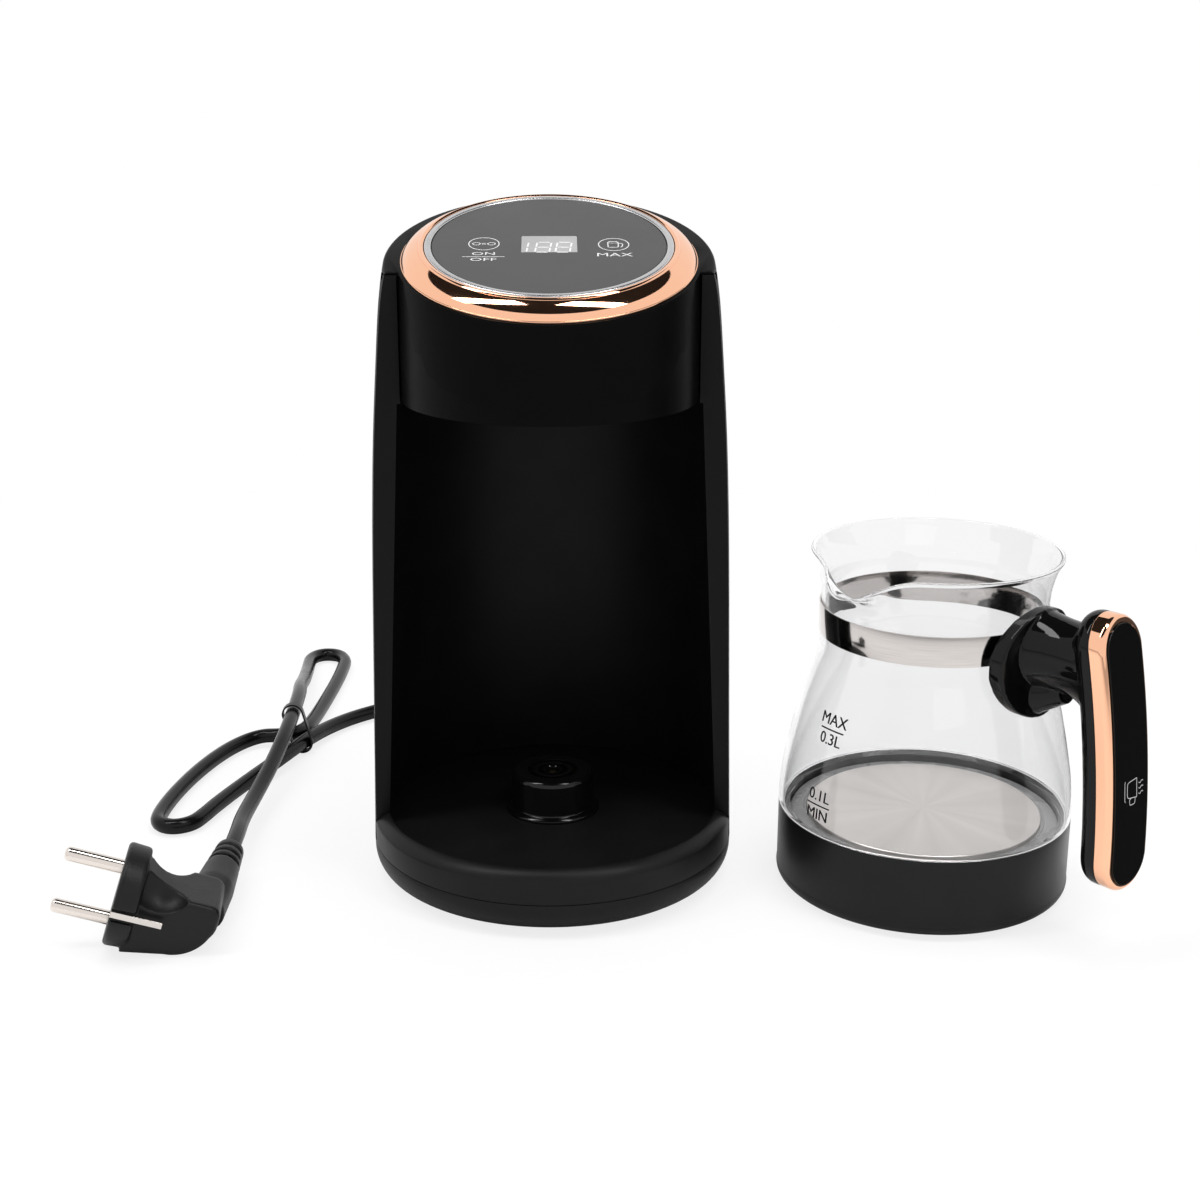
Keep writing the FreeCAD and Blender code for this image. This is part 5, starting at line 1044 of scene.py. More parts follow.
# -------------------------------------------------------------------------------- mains lead
@dataclass
class MainsLead:
    """The cord with its gland, tie and plug."""

    radius: float = 3.0
    case_back: float = 84.256
    gland_length: float = 27.0
    gland_flange: float = 6.8
    gland_neck: float = 4.2
    gland_bore: float = 3.06
    gland_core: tuple[float, float] = (4.5, 3.4)
    gland_ribs: int = 5
    outlet_height: float = 29.0
    contact_share: float = 0.5
    cord_length: float = 0.729
    route: tuple[Point3, ...] = (
        (0.0, 111.256, 29.0), (0.0, 129.256, 29.0), (-7.5, 147.5, 24.0), (-25.0, 158.0, 15.5),
        (-46.0, 158.0, 8.0), (-66.0, 151.5, 4.0), (-83.5, 141.5, 3.1), (-95.0, 127.0, 3.5),
        (-103.0, 108.0, 4.9), (-112.6, 85.0, 4.4), (-123.6, 62.0, 3.1), (-130.0, 44.5, 3.1),
        (-132.9, 34.6, 3.1), (-136.0, 26.6, 3.1), (-143.1, 23.2, 3.1), (-149.6, 27.6, 3.1),
        (-150.0, 38.5, 3.1), (-147.8, 57.0, 3.1), (-143.0, 79.0, 3.1), (-136.5, 98.5, 3.1),
        (-129.5, 110.5, 3.3), (-122.2, 114.8, 4.2), (-114.8, 112.8, 4.9), (-108.2, 115.6, 4.7),
        (-104.8, 123.8, 4.0), (-102.8, 140.0, 3.1), (-100.2, 165.0, 3.1), (-98.4, 187.0, 3.1),
        (-97.6, 204.0, 3.1), (-97.6, 214.0, 3.1), (-101.4, 222.5, 3.1), (-109.6, 223.5, 3.2),
        (-114.4, 216.6, 3.4), (-113.8, 204.0, 4.0), (-112.6, 187.0, 6.2), (-111.2, 167.0, 10.0),
        (-110.2, 148.0, 14.4), (-107.9, 128.5, 17.6), (-107.6, 89.0, 17.6), (-110.4, 63.0, 12.8),
        (-113.8, 39.0, 9.4), (-115.6, 17.0, 9.2), (-114.51, -1.021, 10.69), (-115.0, -12.5, 10.2),
    )

    def cord(self) -> bpy.types.Object:
        """The sheathed cord, as one smooth curve."""
        data = bpy.data.curves.new("mains_lead", "CURVE")
        data.dimensions = "3D"
        data.bevel_depth = self.radius * MM
        data.bevel_resolution = 6
        data.resolution_u = 10
        data.use_fill_caps = True
        spline = data.splines.new("NURBS")
        spline.points.add(len(self.route) - 1)
        for point, place in zip(spline.points, self.route):
            point.co = (*(value * MM for value in place), 1.0)
        spline.order_u = 3
        spline.use_endpoint_u = True
        data.materials.append(Finishes.get("cord_black"))
        cord = in_scene("mains_lead", data)
        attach(cord, BASE)
        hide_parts("mains_cord")
        return cord

    def gland(self) -> None:
        """Strain relief at the casing: a tapered core under a row of ribs."""
        back, tip = self.case_back, self.case_back + self.gland_length
        near, far = self.gland_core
        flange, neck, bore = self.gland_flange, self.gland_neck, self.gland_bore
        clip = flange - 0.6
        core = lathe(rounded_outline([
            (bore, back - 5.7, 0), (clip, back - 5.7, 0.5), (clip, back - 3.5, 0.5), (neck, back - 3.5, 0),
            (neck, back + 0.6, 0), (flange, back + 0.6, 0.3), (flange, back + 2.0, 0.5),
            (near, back + 2.4, 0.3), (far, tip - 1.2, 0), (far, tip - 0.1, 0.4), (bore, tip - 0.1, 0),
        ], 3), 64)
        pitch = (self.gland_length - 5.0) / self.gland_ribs
        ribs = Recipes.ribs("cord_black").run({"Count": self.gland_ribs, "Pitch": pitch * MM,
                                               "Near Radius": 4.55 * MM, "Far Radius": 3.55 * MM,
                                               "Rib Share": 0.21})
        ribs.transform(Matrix.Translation((0, 0, (back + 4.6) * MM)))
        mesh = joined([core, ribs], "gland")
        turn = Matrix.Rotation(-math.pi / 2, 4, "X")
        mesh.transform(Matrix.Translation((0, 0, self.outlet_height * MM)) @ turn)
        add_piece("lead_gland", mesh, "cord_black", BASE, "cord_black", ["gland"], 40.0)

    def side_contacts(self) -> bpy.types.Mesh:
        """The plug's two side contacts, narrower than their grooves."""
        mesh = merged_copy("plug_earth_strips", 0.15)
        points = np.array([tuple(vertex.co) for vertex in mesh.vertices])
        middle = points.mean(axis=0)
        across = np.linalg.svd(points - middle, full_matrices=False)[2][2]
        narrowed = points - np.outer((points - middle) @ across, across) * (1.0 - self.contact_share)
        for vertex, point in zip(mesh.vertices, narrowed):
            vertex.co = point
        return mesh

    def build(self) -> None:
        """Make the lead and what is on it."""
        cord = self.cord()
        plug = add_piece("plug_moulding", softened("plug_body", 0.4, 7), "plug_black", BASE, "cord_black",
                         ["plug_body"], 60.0)
        pins = add_piece("plug_contact_pins", merged_copy("plug_pins"), "pin_nickel", BASE, "pin_nickel",
                         ["plug_pins"])
        # The side contacts take the darker copy of the pins' nickel: painted shade.
        strips = add_piece("plug_side_contacts", self.side_contacts(), "strip_nickel_painted_shade", BASE,
                           "pin_nickel", ["plug_earth_strips"])
        tie = add_piece("lead_tie", merged_copy("cord_tie"), "satin_black", BASE, "satin_black", ["cord_tie"])
        self.gland()
        [value * MM for value in self.route[0]]


# ------------------------------------------------------------------------------------- screws
@dataclass(frozen=True)
class PanScrew:
    """A pan head screw that is driven upwards."""

    head_radius: float
    head_height: float
    shank_radius: float
    length: float

    def pattern(self) -> bpy.types.Object:
        """One screw with its seat at the origin, for the recipe to repeat."""
        head, shank = self.head_radius, self.shank_radius
        low = -self.head_height
        outline = rounded_outline([(0, low + 0.85, 0), (0.45 * head, low + 0.55, 0), (0.52 * head, low, 0.1),
                                   (0.72 * head, low, 0.6), (head, 0, 0.3), (shank, 0, 0),
                                   (shank, self.length - 0.8, 0), (0, self.length, 0)], 3)

        def cross(r: float, z: float, angle: float) -> Point2:
            """Pull the recess into a cross."""
            if z < 0 and 0 < r < 0.56 * head:
                r *= 0.72 + 0.28 * math.cos(4 * angle)
            return r, z

        mesh = lathe(outline, 48, None, cross)
        return bpy.data.objects.new("screw_pattern", mesh)

    def drive(self, name: str, node: str, places: Sequence[Point3], body: str, seed: int) -> None:
        """Put a screw at each place.

        Args:
            name: The piece's name.
            node: The CAD node that the screws stand for.
            places: Seats of the screws in metres.
            body: The body that they ride on.
            seed: Seed of the turns at which they were left.
        """
        pattern = self.pattern()
        mesh = Recipes.screws("steel_screw").run({"Screw": pattern, "Seed": seed}, anchor_points(places))
        bpy.data.objects.remove(pattern)
        add_piece(name, mesh, "steel_screw", body, "steel_screw", [node], 35.0)


# ------------------------------------------------------------------------------------- casing
@dataclass
class Casing:
    """Shells of the base unit."""

    copies: dict[str, tuple[str, str, float]] = field(default_factory=lambda: {
        "back_shell": ("matte_black", "matte_black", 0.25),
        "bay_liner": ("matte_black", "matte_black", 0.2),
        # The head cover takes the darker copy of matte_black: painted shade.
        "head_cover": ("drum_black", "matte_black", 0.2),
        "head_ceiling": ("matte_black", "matte_black", 0.2),
        # Tray and pan take the lighter copy of matte_black: painted light.
        "base_tray": ("tray_black", "matte_black", 0.25),
        "base_pan": ("tray_black", "matte_black", 0.25),
        "dock_pedestal": ("dock_black", "satin_black", 0.12),
        "steam_sensor": ("satin_black", "satin_black", 0.1),
        "rubber_feet": ("rubber_black", "rubber_black", 0.1),
    })
    bay_foot: Point2 = (59.2, 20.5)
    bay_top: Point2 = (52.4, 171.0)
    bay_wall: float = 2.0
    wall_slack: float = 0.03
    drum_centre_y: float = -3.0
    drum_radius: float = 50.2
    drum_slack: float = 0.6
    drum_bottom: float = 171.6
    screw_seat: float = 7.0
    screw_places: tuple[Point2, ...] = ((34.0, -44.0), (-34.0, -44.0), (50.0, 30.0), (-50.0, 30.0))

    def bay_normal(self, point: Vector) -> Vector | None:
        """Normal of the bay's conical wall, on its inside or outside.

        Args:
            point: A point in metres.

        Returns:
            The normal that points out of the wall, or None off the wall.
        """
        slope = (self.bay_top[0] - self.bay_foot[0]) / (self.bay_top[1] - self.bay_foot[1])
        radius = math.hypot(point.x, point.y) / MM
        inside = self.bay_foot[0] + slope * (point.z / MM - self.bay_foot[1])
        for wall, sign in ((inside, -1.0), (inside + self.bay_wall, 1.0)):
            if abs(radius - wall) < self.wall_slack:
                return Vector((point.x / MM / radius, point.y / MM / radius, -slope)).normalized() * sign
        return None

    def drum_normal(self, point: Vector) -> Vector | None:
        """Normal of the round front of the head, or None off it."""
        away = Vector((point.x, point.y - self.drum_centre_y * MM, 0.0))
        off_drum = abs(away.length / MM - self.drum_radius) > self.drum_slack
        if off_drum or point.z / MM < self.drum_bottom:
            return None
        return away.normalized()

    def build(self) -> None:
        """Dress welded copies of the shells."""
        exact = {"bay_liner": self.bay_normal, "head_cover": self.drum_normal}
        for node, (finish, slot, bevel) in self.copies.items():
            piece = add_piece(f"{node}_skin", merged_copy(node, bevel), finish, BASE, slot, [node],
                              weighted=node not in exact)
            if node in exact:
                exact_normals(piece.data, exact[node])
        places = [(x * MM, y * MM, self.screw_seat * MM) for x, y in self.screw_places]
        PanScrew(2.6, 1.8, 1.4, 9.0).drive("pan_screws", "base_screws", places, BASE, 11)


# ------------------------------------------------------------------------------- control head
@dataclass
class ControlHead:
    """Plated rings, touch panel, display and printed signs on the tilted top."""

    tilt: float = 16.8
    centre_y: float = -3.1
    centre_z: float = 222.8
    rim_outer: float = 41.3
    rim_inner: float = 38.9
    ring_outer: float = 49.3
    ring_drop: float = 4.6
    face_level: float = -0.3
    window: Point2 = (18.6, 13.5)
    left_sign: Point2 = (-21.5, 0.2)
    right_sign: Point2 = (21.2, -0.5)
    sign_radius: float = 5.0
    digit_height: float = 8.0
    digit_slant: float = 0.1
    digit_drop: float = 2.65
    digit_reach: float = 2.35
    bar_lengths: Point2 = (3.7, 3.3)
    bar_width: float = 0.6
    bar_height: float = 0.02
    ring_segments: int = 288
    ledge_width: float = 3.4

    def place(self, lift: float = 0.0) -> Matrix:
        """Transform from the panel's plane, in millimetres, to the frame in metres."""
        turn = Matrix.Rotation(math.radians(self.tilt), 4, "X")
        origin = Matrix.Translation((0, self.centre_y * MM, self.centre_z * MM))
        return origin @ turn @ Matrix.Translation((0, 0, lift * MM)) @ Matrix.Scale(MM, 4)

    def turned(self, node: str, outline: Sequence[Point2], finish: str, sharp_degrees: float) -> None:
        """Turn an outline about the panel's axis and put it in place of a CAD node."""
        mesh = lathe(outline, self.ring_segments)
        mesh.transform(self.place() @ Matrix.Scale(1 / MM, 4))
        add_piece(f"{node}_skin", mesh, finish, BASE, finish, [node], sharp_degrees)

    def rose_ring(self) -> None:
        """Plated ring: a fine step at the rim, then a crowned slope down to its rounded edge."""
        inner = self.rim_outer + 0.16
        outer = self.ring_outer
        outline = rounded_outline([(inner, -6.0, 0), (inner, -0.15, 0.25), (inner + 1.2, 0.05, 0.5),
                                   (inner + 1.9, -0.5, 0.25)], 4)[:-1]
        start, via, end = (inner + 1.9, -0.55), (inner + 5.2, -2.25), (outer - 0.7, -self.ring_drop + 0.3)
        steps = 14
        for i in range(steps + 1):
            t = i / steps
            outline.append(tuple((1 - t) ** 2 * a + 2 * t * (1 - t) * (2 * b - (a + c) / 2) + t * t * c
                                 for a, b, c in zip(start, via, end)))
        outline += rounded_outline([
            (outer - 0.12, -self.ring_drop - 0.35, 0.3), (outer - 0.02, -5.35, 0), (45.8, -5.35, 0),
            (45.8, -9.45, 0), (42.85, -9.45, 0), (42.85, -6.0, 0),
        ], 3)
        self.turned("rose_ring", outline, "rose_gold", 45.0)

    def silver_rim(self) -> None:
        """Bright ring with rolled edges, on the ledge that carries the panel."""
        inner, outer, ledge = self.rim_inner, self.rim_outer, self.rim_inner - self.ledge_width
        outline = rounded_outline([
            (inner, -2.4, 0), (inner, 0, 0.6), (outer, 0, 0.7), (outer, -7.0, 0), (outer - 2, -7.0, 0),
            (outer - 2, -4.2, 0), (ledge, -4.2, 0), (ledge, -2.4, 0),
        ], 6)
        self.turned("silver_rim", outline, "bright_silver", 50.0)

    def signs(self) -> None:
        """Fine printed signs and plain words."""
        prints: list[bpy.types.Mesh] = []

        def ring(centre: Point2, radius: float, width: float, squash: float = 1.0, sides: int = 48) -> None:
            """Print a round or oval outline."""
            prints.append(ribbon(oval(centre, radius, squash, sides), width, closed=True))

        def line(points: Sequence[Point2], width: float, closed: bool = False) -> None:
            """Print a line."""
            prints.append(ribbon(points, width, closed))

        def words(text: str, centre: Point2, height: float, spread: float) -> None:
            """Print plain characters."""
            mesh = lettering(text, height, spread)
            mesh.transform(Matrix.Translation((*centre, 0)))
            prints.append(mesh)

        x, y = self.left_sign
        ring((x, y), self.sign_radius, 0.32)
        ring((x - 2.5, y), 1.25, 0.3, 0.8, 24)
        ring((x + 2.5, y), 1.25, 0.3, 0.8, 24)
        for shift in (0.25, -0.3):
            line([(x - 0.7, y + shift), (x + 0.7, y + shift)], 0.28)
        words("ON", (x + 0.1, y - 8.1), 2.2, 1.6)
        line([(x - 6.8, y - 10.45), (x + 6.9, y - 10.45)], 0.3)
        words("OFF", (x + 0.1, y - 12.7), 2.2, 1.6)
        x, y = self.right_sign
        ring((x, y), self.sign_radius, 0.32)
        jug = rounded_outline([(x - 1.9, y - 2.3, 0.7), (x + 1.5, y - 2.3, 0.7), (x + 1.5, y + 1.7, 0.3),
                               (x + 0.9, y + 2.4, 0.3), (x - 1.3, y + 2.4, 0.3), (x - 1.9, y + 1.7, 0.3)], 3)
        line(jug, 0.34, closed=True)
        line([(x - 1.9, y + 1.2), (x + 1.5, y + 1.2)], 0.26)
        ear = ((1.5, 0.9), (2.7, 0.8), (3.0, 0.1), (2.7, -1.6), (2.2, -2.2))
        line([(x + right, y + up) for right, up in ear], 0.34)
        words("MAX", (x, y - 8.4), 2.7, 1.45)
        mesh = joined(prints, "panel_print")
        mesh.transform(self.place(self.face_level))
        add_piece("panel_print", mesh, "print_white", BASE, "panel_grey", (), 30.0)

    def digits(self) -> None:
        """Bars of a three-digit number that shine faintly through the pane."""
        half, wide = self.digit_height / 2, self.digit_reach
        bars: dict[str, tuple[float, float, bool]] = {
            "top": (0.0, half, False), "middle": (0.0, 0.0, False), "bottom": (0.0, -half, False),
            "upper_left": (-wide, half / 2, True), "upper_right": (wide, half / 2, True),
            "lower_left": (-wide, -half / 2, True), "lower_right": (wide, -half / 2, True),
        }
        eight = tuple(bars)
        across: list[Point3] = []
        upright: list[Point3] = []
        for column, lit in ((-9.5, ("upper_right", "lower_right")), (-2.0, eight), (4.7, eight)):
            for label in lit:
                x, y, standing = bars[label]
                row = upright if standing else across
                row.append((column + x + self.digit_slant * y, y - self.digit_drop, 0.0))
        recipe = Recipes.segments("segment_pale")
        turns = (0.0, math.pi / 2 - self.digit_slant)
        made = [recipe.run({"Bar Length": length, "Bar Width": self.bar_width, "Bar Height": self.bar_height},
                           anchor_points(places, [turn] * len(places)))
                for places, turn, length in zip((across, upright), turns, self.bar_lengths)]
        mesh = joined(made, "display_bars")
        mesh.transform(self.place(self.face_level + 0.004))
        add_piece("display_bars", mesh, "segment_pale", BASE, "display_smoke", (), 30.0)

    def pane(self) -> None:
        """Smoked pane of the display, with its edges broken."""
        w, h = self.window[0] / 2 - 0.05, self.window[1] / 2 - 0.05
        shape = bmesh.new()
        top = self.face_level
        outline = rounded_outline([(-w, -h, 0.5), (w, -h, 0.5), (w, h, 0.5), (-w, h, 0.5)], 4)
        levels = [(0.0, top - 2.0), (0.0, top - 0.12), (0.12, top)]
        rows = [[shape.verts.new((x * (1 - inset / w), y * (1 - inset / h), z)) for x, y in outline]
                for inset, z in levels]
        for low, high in zip(rows, rows[1:]):
            bridge(shape, low, high)
        shape.faces.new(list(reversed(rows[0])))
        shape.faces.new(rows[-1])
        pane = finished(shape, "pane", self.place())
        add_piece("display_pane", pane, "display_smoke", BASE, "display_smoke", ["display_window"])

    def build(self) -> None:
        """Dress the rings and the panel."""
        self.rose_ring()
        self.silver_rim()
        add_piece("touch_panel", merged_copy("control_panel"), "panel_grey", BASE, "panel_grey",
                  ["control_panel"])
        self.pane()
        self.signs()
        self.digits()


# ------------------------------------------------------------------------------------- carafe
@dataclass
class Carafe:
    """Glass carafe with its heating base, band and handle."""

    centre: Point2 = (131.3, -17.5)
    handle_azimuth: float = -50.0
    profile: tuple[Point2, ...] = (
        (31.0, 51.0), (37.0, 50.6), (43.0, 49.9), (49.0, 48.8), (55.0, 47.6), (61.0, 46.3), (67.0, 44.9),
        (73.0, 43.2), (79.0, 41.25), (83.0, 39.8), (86.0, 38.88), (89.0, 38.65), (92.0, 38.6), (104.0, 38.6),
    )
    neck_radius: float = 38.6
    flare_z: float = 104.0
    rim_z: float = 121.9
    rim_radius: float = 43.2
    glass_wall: float = 2.0
    blown_wall: float = 1.4
    cup_top: float = 28.7
    spigot: float = 48.85
    spigot_depth: float = 6.0
    rim_roll: float = 1.0
    lip_azimuth: float = -138.5
    lip_reach: float = 9.7812
    lip_rise: float = 2.3
    lip_spread: float = 14.5
    lip_fan: float = 0.9
    lip_dip: float = 7.6
    dip_spread: float = 15.225
    grip_arc: tuple[float, float, float] = (-285.4, 26.6, 368.6066)
    insert_proud: float = 0.5
    print_azimuth: float = -146.2
    print_squash: float = 0.97
    print_gap: Point2 = (0.03, 0.02)
    grip_sign_level: float = 59.0
    cover_screw_radius: float = 45.2
    cover_screw_seat: float = 1.6
    copies: dict[str, tuple[str, float]] = field(default_factory=lambda: {
        "carafe_base_cup": ("satin_black", 0.2),
        "carafe_base_cover": ("matte_black", 0.2),
        "carafe_coupler": ("component_black", 0.0),
        "handle_trim": ("rose_gold", 0.25),
        "handle_insert": ("gloss_black", 0.3),
    })

    @property
    def place(self) -> Matrix:
        """Transform from the carafe's axis to the frame."""
        return Matrix.Translation((self.centre[0] * MM, self.centre[1] * MM, 0.0))

    def wall_radius(self, z: float, inset: float = 0.0) -> float:
        """Radius of the glass at a height.

        Args:
            z: Height in millimetres.
            inset: Distance into the wall from its outside.

        Returns:
            The radius in millimetres.
        """
        table = self.profile
        if z <= table[0][0]:
            return table[0][1] - inset
        if z <= self.flare_z:
            i = next(k for k in range(len(table) - 1) if z <= table[k + 1][0])
            (z0, r0), (z1, r1) = table[i], table[i + 1]
            level_rows = (0, len(table) - 2, len(table) - 1)
            slopes = [0.0 if k in level_rows else
                      (table[k + 1][1] - table[k - 1][1]) / (table[k + 1][0] - table[k - 1][0])
                      for k in (i, i + 1)]
            run = z1 - z0
            t = (z - z0) / run
            return ((2 * t ** 3 - 3 * t ** 2 + 1) * r0 + (t ** 3 - 2 * t ** 2 + t) * run * slopes[0]
                    + (3 * t ** 2 - 2 * t ** 3) * r1 + (t ** 3 - t ** 2) * run * slopes[1]) - inset
        lift, spread = self.rim_z - self.flare_z, self.rim_radius - self.neck_radius
        arc = (spread ** 2 + lift ** 2) / (2 * spread)
        return self.neck_radius + arc - math.sqrt((arc + inset) ** 2 - (z - self.flare_z) ** 2)

    def lip(self, r: float, z: float, angle: float) -> Point2:
        """Bulge the mouth into a pouring lip that dips at its tip.

        Args:
            r: Radius of a point of the round mouth.
            z: Its height.
            angle: Its direction.

        Returns:
            The changed radius and height.
        """
        if z <= self.flare_z:
            return r, z
        rise = (z - self.flare_z) / (self.rim_z - self.flare_z)
        offset = (math.degrees(angle) - self.lip_azimuth + 180) % 360 - 180
        spread = self.lip_spread * (1 + self.lip_fan * (1 - rise))
        bulge = self.lip_reach * rise ** self.lip_rise * math.exp(-(offset / spread) ** 2)
        dip = self.lip_dip * rise ** 2 * math.exp(-(offset / self.dip_spread) ** 2)
        return r + bulge, z - dip

    def turned(self, name: str, outline: Sequence[Point2], segments: int, finish: str, node: str,
               sharp_degrees: float = SHARP_DEGREES,
               wave: Callable[[float, float, float], Point2] | None = None) -> None:
        """Turn an outline about the carafe's axis and put it in place of a CAD node.

        Args:
            name: The piece's name.
            outline: Its (r, z) outline in millimetres.
            segments: Faces round the axis.
            finish: Its finish.
            node: The CAD node.
            sharp_degrees: Edges sharper than this stay hard.
            wave: Changes (r, z) at an angle.
        """
        mesh = lathe(outline, segments, self.place, wave)
        add_piece(name, mesh, finish, CARAFE, finish, [node], sharp_degrees)

    def glass(self) -> None:
        """Blown wall with a rolled rim and a soft pouring lip."""
        foot = self.cup_top - self.spigot_depth
        heights = [self.cup_top + 0.25, 30.2]
        heights += [31.0 + i * 1.9 for i in range(1, 38)]
        top = self.rim_z - self.rim_roll
        heights += [self.flare_z + (top - self.flare_z) * i / 14 for i in range(1, 15)]
        outside = [(self.wall_radius(z), z) for z in heights]
        inside = [(self.wall_radius(z, self.blown_wall), z) for z in reversed(heights)]
        middle = (outside[-1][0] + inside[0][0]) / 2
        half = (outside[-1][0] - inside[0][0]) / 2
        rim = [(middle + half * math.cos(a), top + half * math.sin(a)) for a in
               (math.pi * i / 8 for i in range(1, 8))]
        base = rounded_outline([(self.spigot - self.glass_wall, foot, 0.5), (self.spigot, foot, 0.5),
                                (self.spigot, self.cup_top + 0.12, 0.0), (50.6, self.cup_top + 0.12, 0.3)], 3)
        outline = base + outside + rim + inside + [(self.spigot - self.glass_wall, self.cup_top - 1.0)]
        self.turned("glass_wall", outline, 240, "clear_glass", "carafe_glass", 60.0, self.lip)

    def band(self) -> None:
        """Polished band round the neck with rolled edges, and the block that holds the handle."""
        mesh = merged_copy("carafe_band", 0.1)
        add_piece("neck_band", mesh, "band_steel", CARAFE, "band_steel", ["carafe_band"])

    def hotplate(self) -> None:
        """Turned steel plate in its seal, with a painted sheen of broad radial wedges."""
        plate = rounded_outline([(0, 24.6, 0), (39.5, 24.6, 0), (39.5, 18.6, 0), (41.0, 18.6, 0),
                                 (41.0, 26.6, 0.7), (0, 26.6, 0)], 5)
        self.turned("hotplate", plate, 200, "plate_steel", "heating_plate")
        seal = rounded_outline([
            (41.0, 20.7, 0), (48.85, 20.7, 0.2), (48.85, 22.7, 0), (46.85, 22.7, 0), (46.85, 25.1, 0.5),
            (42.4, 25.55, 0.6), (42.0, 25.2, 0.2), (41.0, 25.2, 0.1),
        ], 4)
        self.turned("seal_ring", seal, 200, "seal_silicone", "plate_seal")

    def handle(self) -> None:
        """Glossy handle whose flange, neck and grip flow into each other."""
        add_piece("handle_moulding", softened("handle_body", 0.42, 9), "gloss_black", CARAFE, "gloss_black",
                  ["handle_body"], 50.0)

    def on_glass(self, x: float, y: float, lift: float, level: float, azimuth: float) -> Vector:
        """Place of a point of a print on the outside of the glass.

        Args:
            x: Distance to the right along the glass.
            y: Distance up.
            lift: Distance off the glass.
            level: Height of the print's middle.
            azimuth: Direction of the print's middle in degrees.

        Returns:
            The place in metres.
        """
        z = level + y * self.print_squash
        radius = self.wall_radius(z) + self.print_gap[0] + lift
        angle = math.radians(azimuth) + x / radius
        return Vector(((self.centre[0] + radius * math.cos(angle)) * MM,
                       (self.centre[1] + radius * math.sin(angle)) * MM, z * MM))

    def scale_marks(self) -> None:
        """Printed litre marks with their lines."""
        marks = ((65.6, ("MAX", 3.3), ("0.3L", -3.4)), (39.7, ("0.1L", 3.3), ("MIN", -3.4)))
        prints = []
        for level, above, below in marks:
            flat = [ribbon([(i * 0.9 - 5.4, 0.0) for i in range(13)], 0.5, thickness=0.05)]
            for text, y in (above, below):
                mesh = lettering(text, 3.9, 1.02, 0.05, 0.08)
                mesh.transform(Matrix.Translation((0.0, y, 0.0)))
                flat.append(mesh)
            prints.append(wrapped(joined(flat, "mark"), lambda x, y, z, level=level:
                                  self.on_glass(x, y, z, level, self.print_azimuth)))
        mesh = joined(prints, "litre_marks")
        add_piece("litre_marks", mesh, "print_black", CARAFE, "clear_glass", (), 30.0)

    def on_grip(self, x: float, y: float, lift: float, level: float) -> Vector:
        """Place of a point of a print on the outer face of the grip, y up and x to the right."""
        centre_r, centre_z, arc = self.grip_arc
        z = level + y
        face = centre_r + math.sqrt(arc ** 2 - (z - centre_z) ** 2)
        radius = face + self.insert_proud + self.print_gap[1] + lift
        axis = math.radians(self.handle_azimuth)
        return Vector(((self.centre[0] + radius * math.cos(axis) - x * math.sin(axis)) * MM,
                       (self.centre[1] + radius * math.sin(axis) + x * math.cos(axis)) * MM, z * MM))

    def grip_sign(self) -> None:
        """Fine outline of a steaming cup, drawn along the grip."""
        lines: list[tuple[list[Point2], bool]] = [
            (rounded_outline([(-3.6, -3.0, 1.6), (2.6, -3.0, 1.6), (3.4, 3.4, 0.2), (-4.4, 3.4, 0.2)], 4),
             True),
            ([(-4.6, -4.3), (-3.8, -4.7), (3.0, -4.7), (3.8, -4.3)], False),
            (rounded_outline([(3.2, -1.6, 0.9), (5.8, -1.2, 0.9), (5.8, 2.2, 0.9), (3.3, 2.4, 0.2)], 3),
             False),
        ]
        for shift in (-2.2, 0.0, 2.2):
            lines.append(([(shift + 0.45 * math.sin(i * 1.05), 4.7 + i * 0.5) for i in range(7)], False))
        prints = [ribbon(points, 0.3, closed) for points, closed in lines]
        flat = joined(prints, "cup_sign")
        flat.transform(Matrix.Rotation(-math.pi / 2, 4, "Z") @ Matrix.Scale(0.82, 4))
        mesh = wrapped(flat, lambda x, y, z: self.on_grip(x, y, max(z, 0.0), self.grip_sign_level))
        add_piece("grip_sign", mesh, "print_white", CARAFE, "gloss_black", (), 30.0)

    def build(self) -> None:
        """Make and dress the carafe's pieces."""
        self.glass()
        self.band()
        self.hotplate()
        self.handle()
        for node, (finish, bevel) in self.copies.items():
            add_piece(f"{node}_skin", merged_copy(node, bevel), finish, CARAFE, finish, [node], weighted=True)
        self.scale_marks()
        self.grip_sign()
        around = [math.radians(90 + 120 * i) for i in range(3)]
        reach = self.cover_screw_radius
        places = [((self.centre[0] + reach * math.cos(a)) * MM, (self.centre[1] + reach * math.sin(a)) * MM,
                   self.cover_screw_seat * MM) for a in around]
        PanScrew(2.3, 1.3, 1.4, 9.0).drive("cover_screw_set", "cover_screws", places, CARAFE, 5)


class Inside:
    """CAD nodes that stay as they are, in better materials."""

    FINISH = {
        "board_green": ("control_board", "power_board"),
        "component_black": ("dock_terminals", "panel_carrier", "display_module", "buzzer"),
        "component_blue": ("power_relay", "filter_capacitor"),
        "component_orange": ("supply_transformer",),
        "contact_brass": ("dock_contacts", "touch_springs", "coupler_contacts"),
        "steel_screw": ("carrier_screws", "board_screws", "power_board_screws", "handle_screw"),
        "aluminium": ("heat_sink_triac", "heat_spreader"),
        "wire_insulation": ("control_harness", "dock_harness", "supply_cores", "carafe_wires"),
        "ceramic_white": ("terminal_block", "thermal_sensor"),
        "element_steel": ("heating_element",),
    }

    @classmethod
    def build(cls) -> None:
        """Assign a finish to each remaining node."""
        for finish, nodes in cls.FINISH.items():
            for node in nodes:
                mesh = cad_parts[node].data
                mesh.materials.clear()
                mesh.materials.append(Finishes.get(finish))
                log.info("node %s: %s", node, finish)


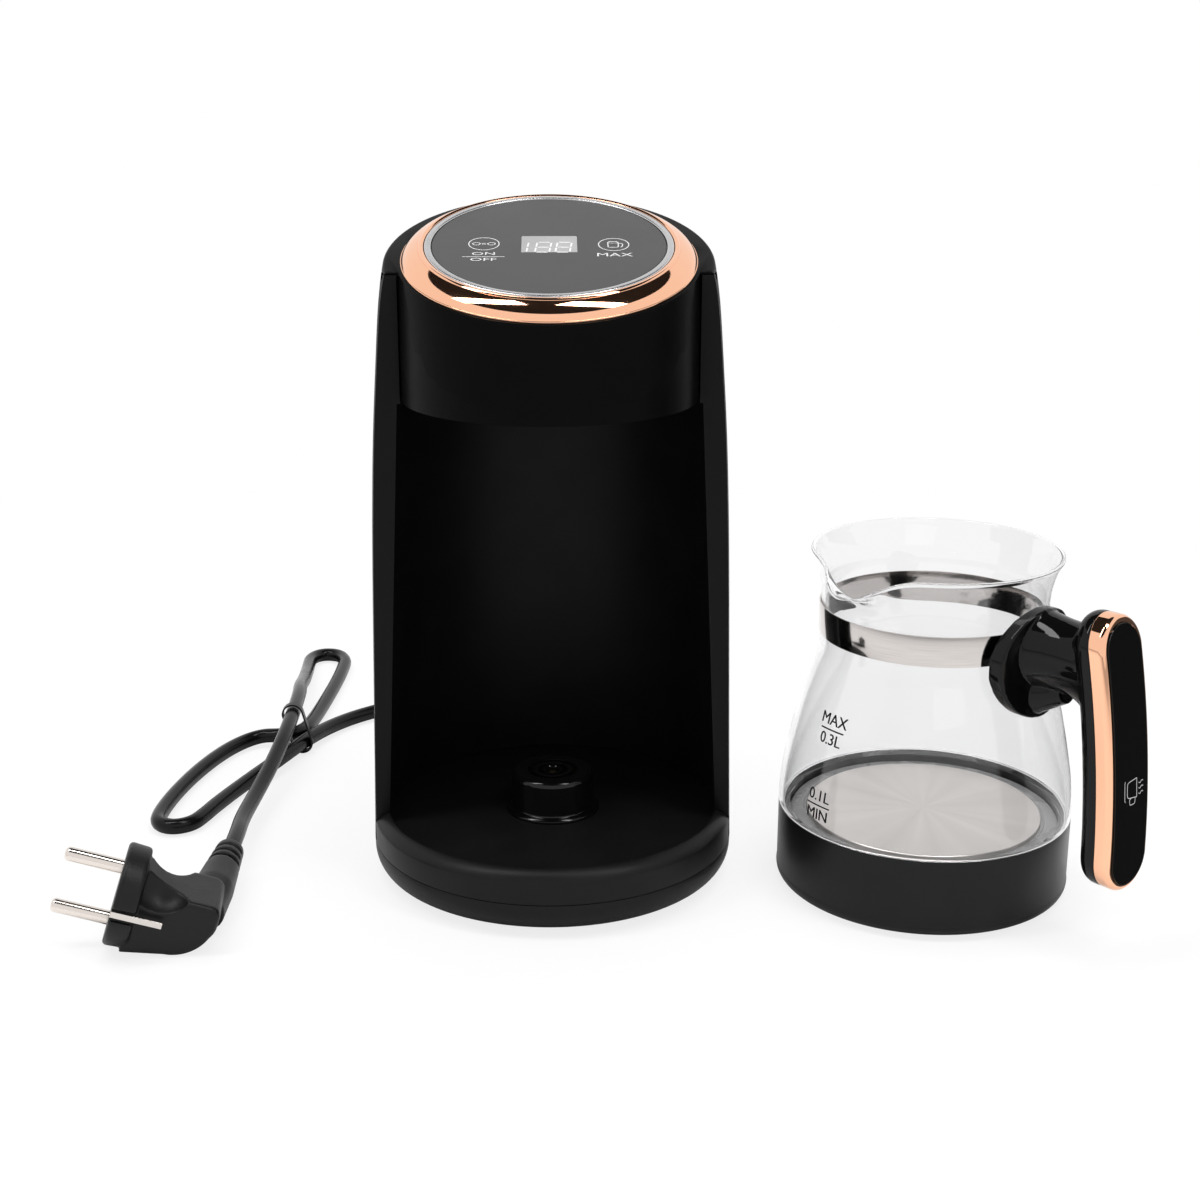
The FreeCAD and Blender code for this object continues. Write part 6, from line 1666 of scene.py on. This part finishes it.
def main() -> None:
    """Build the studio, then each sub-assembly."""
    for part in (Studio(), MainsLead(), Casing(), ControlHead(), Carafe(), Inside()):
        part.build()
        log.info("built %s", type(part).__name__)


if __name__ == "__main__":
    main()
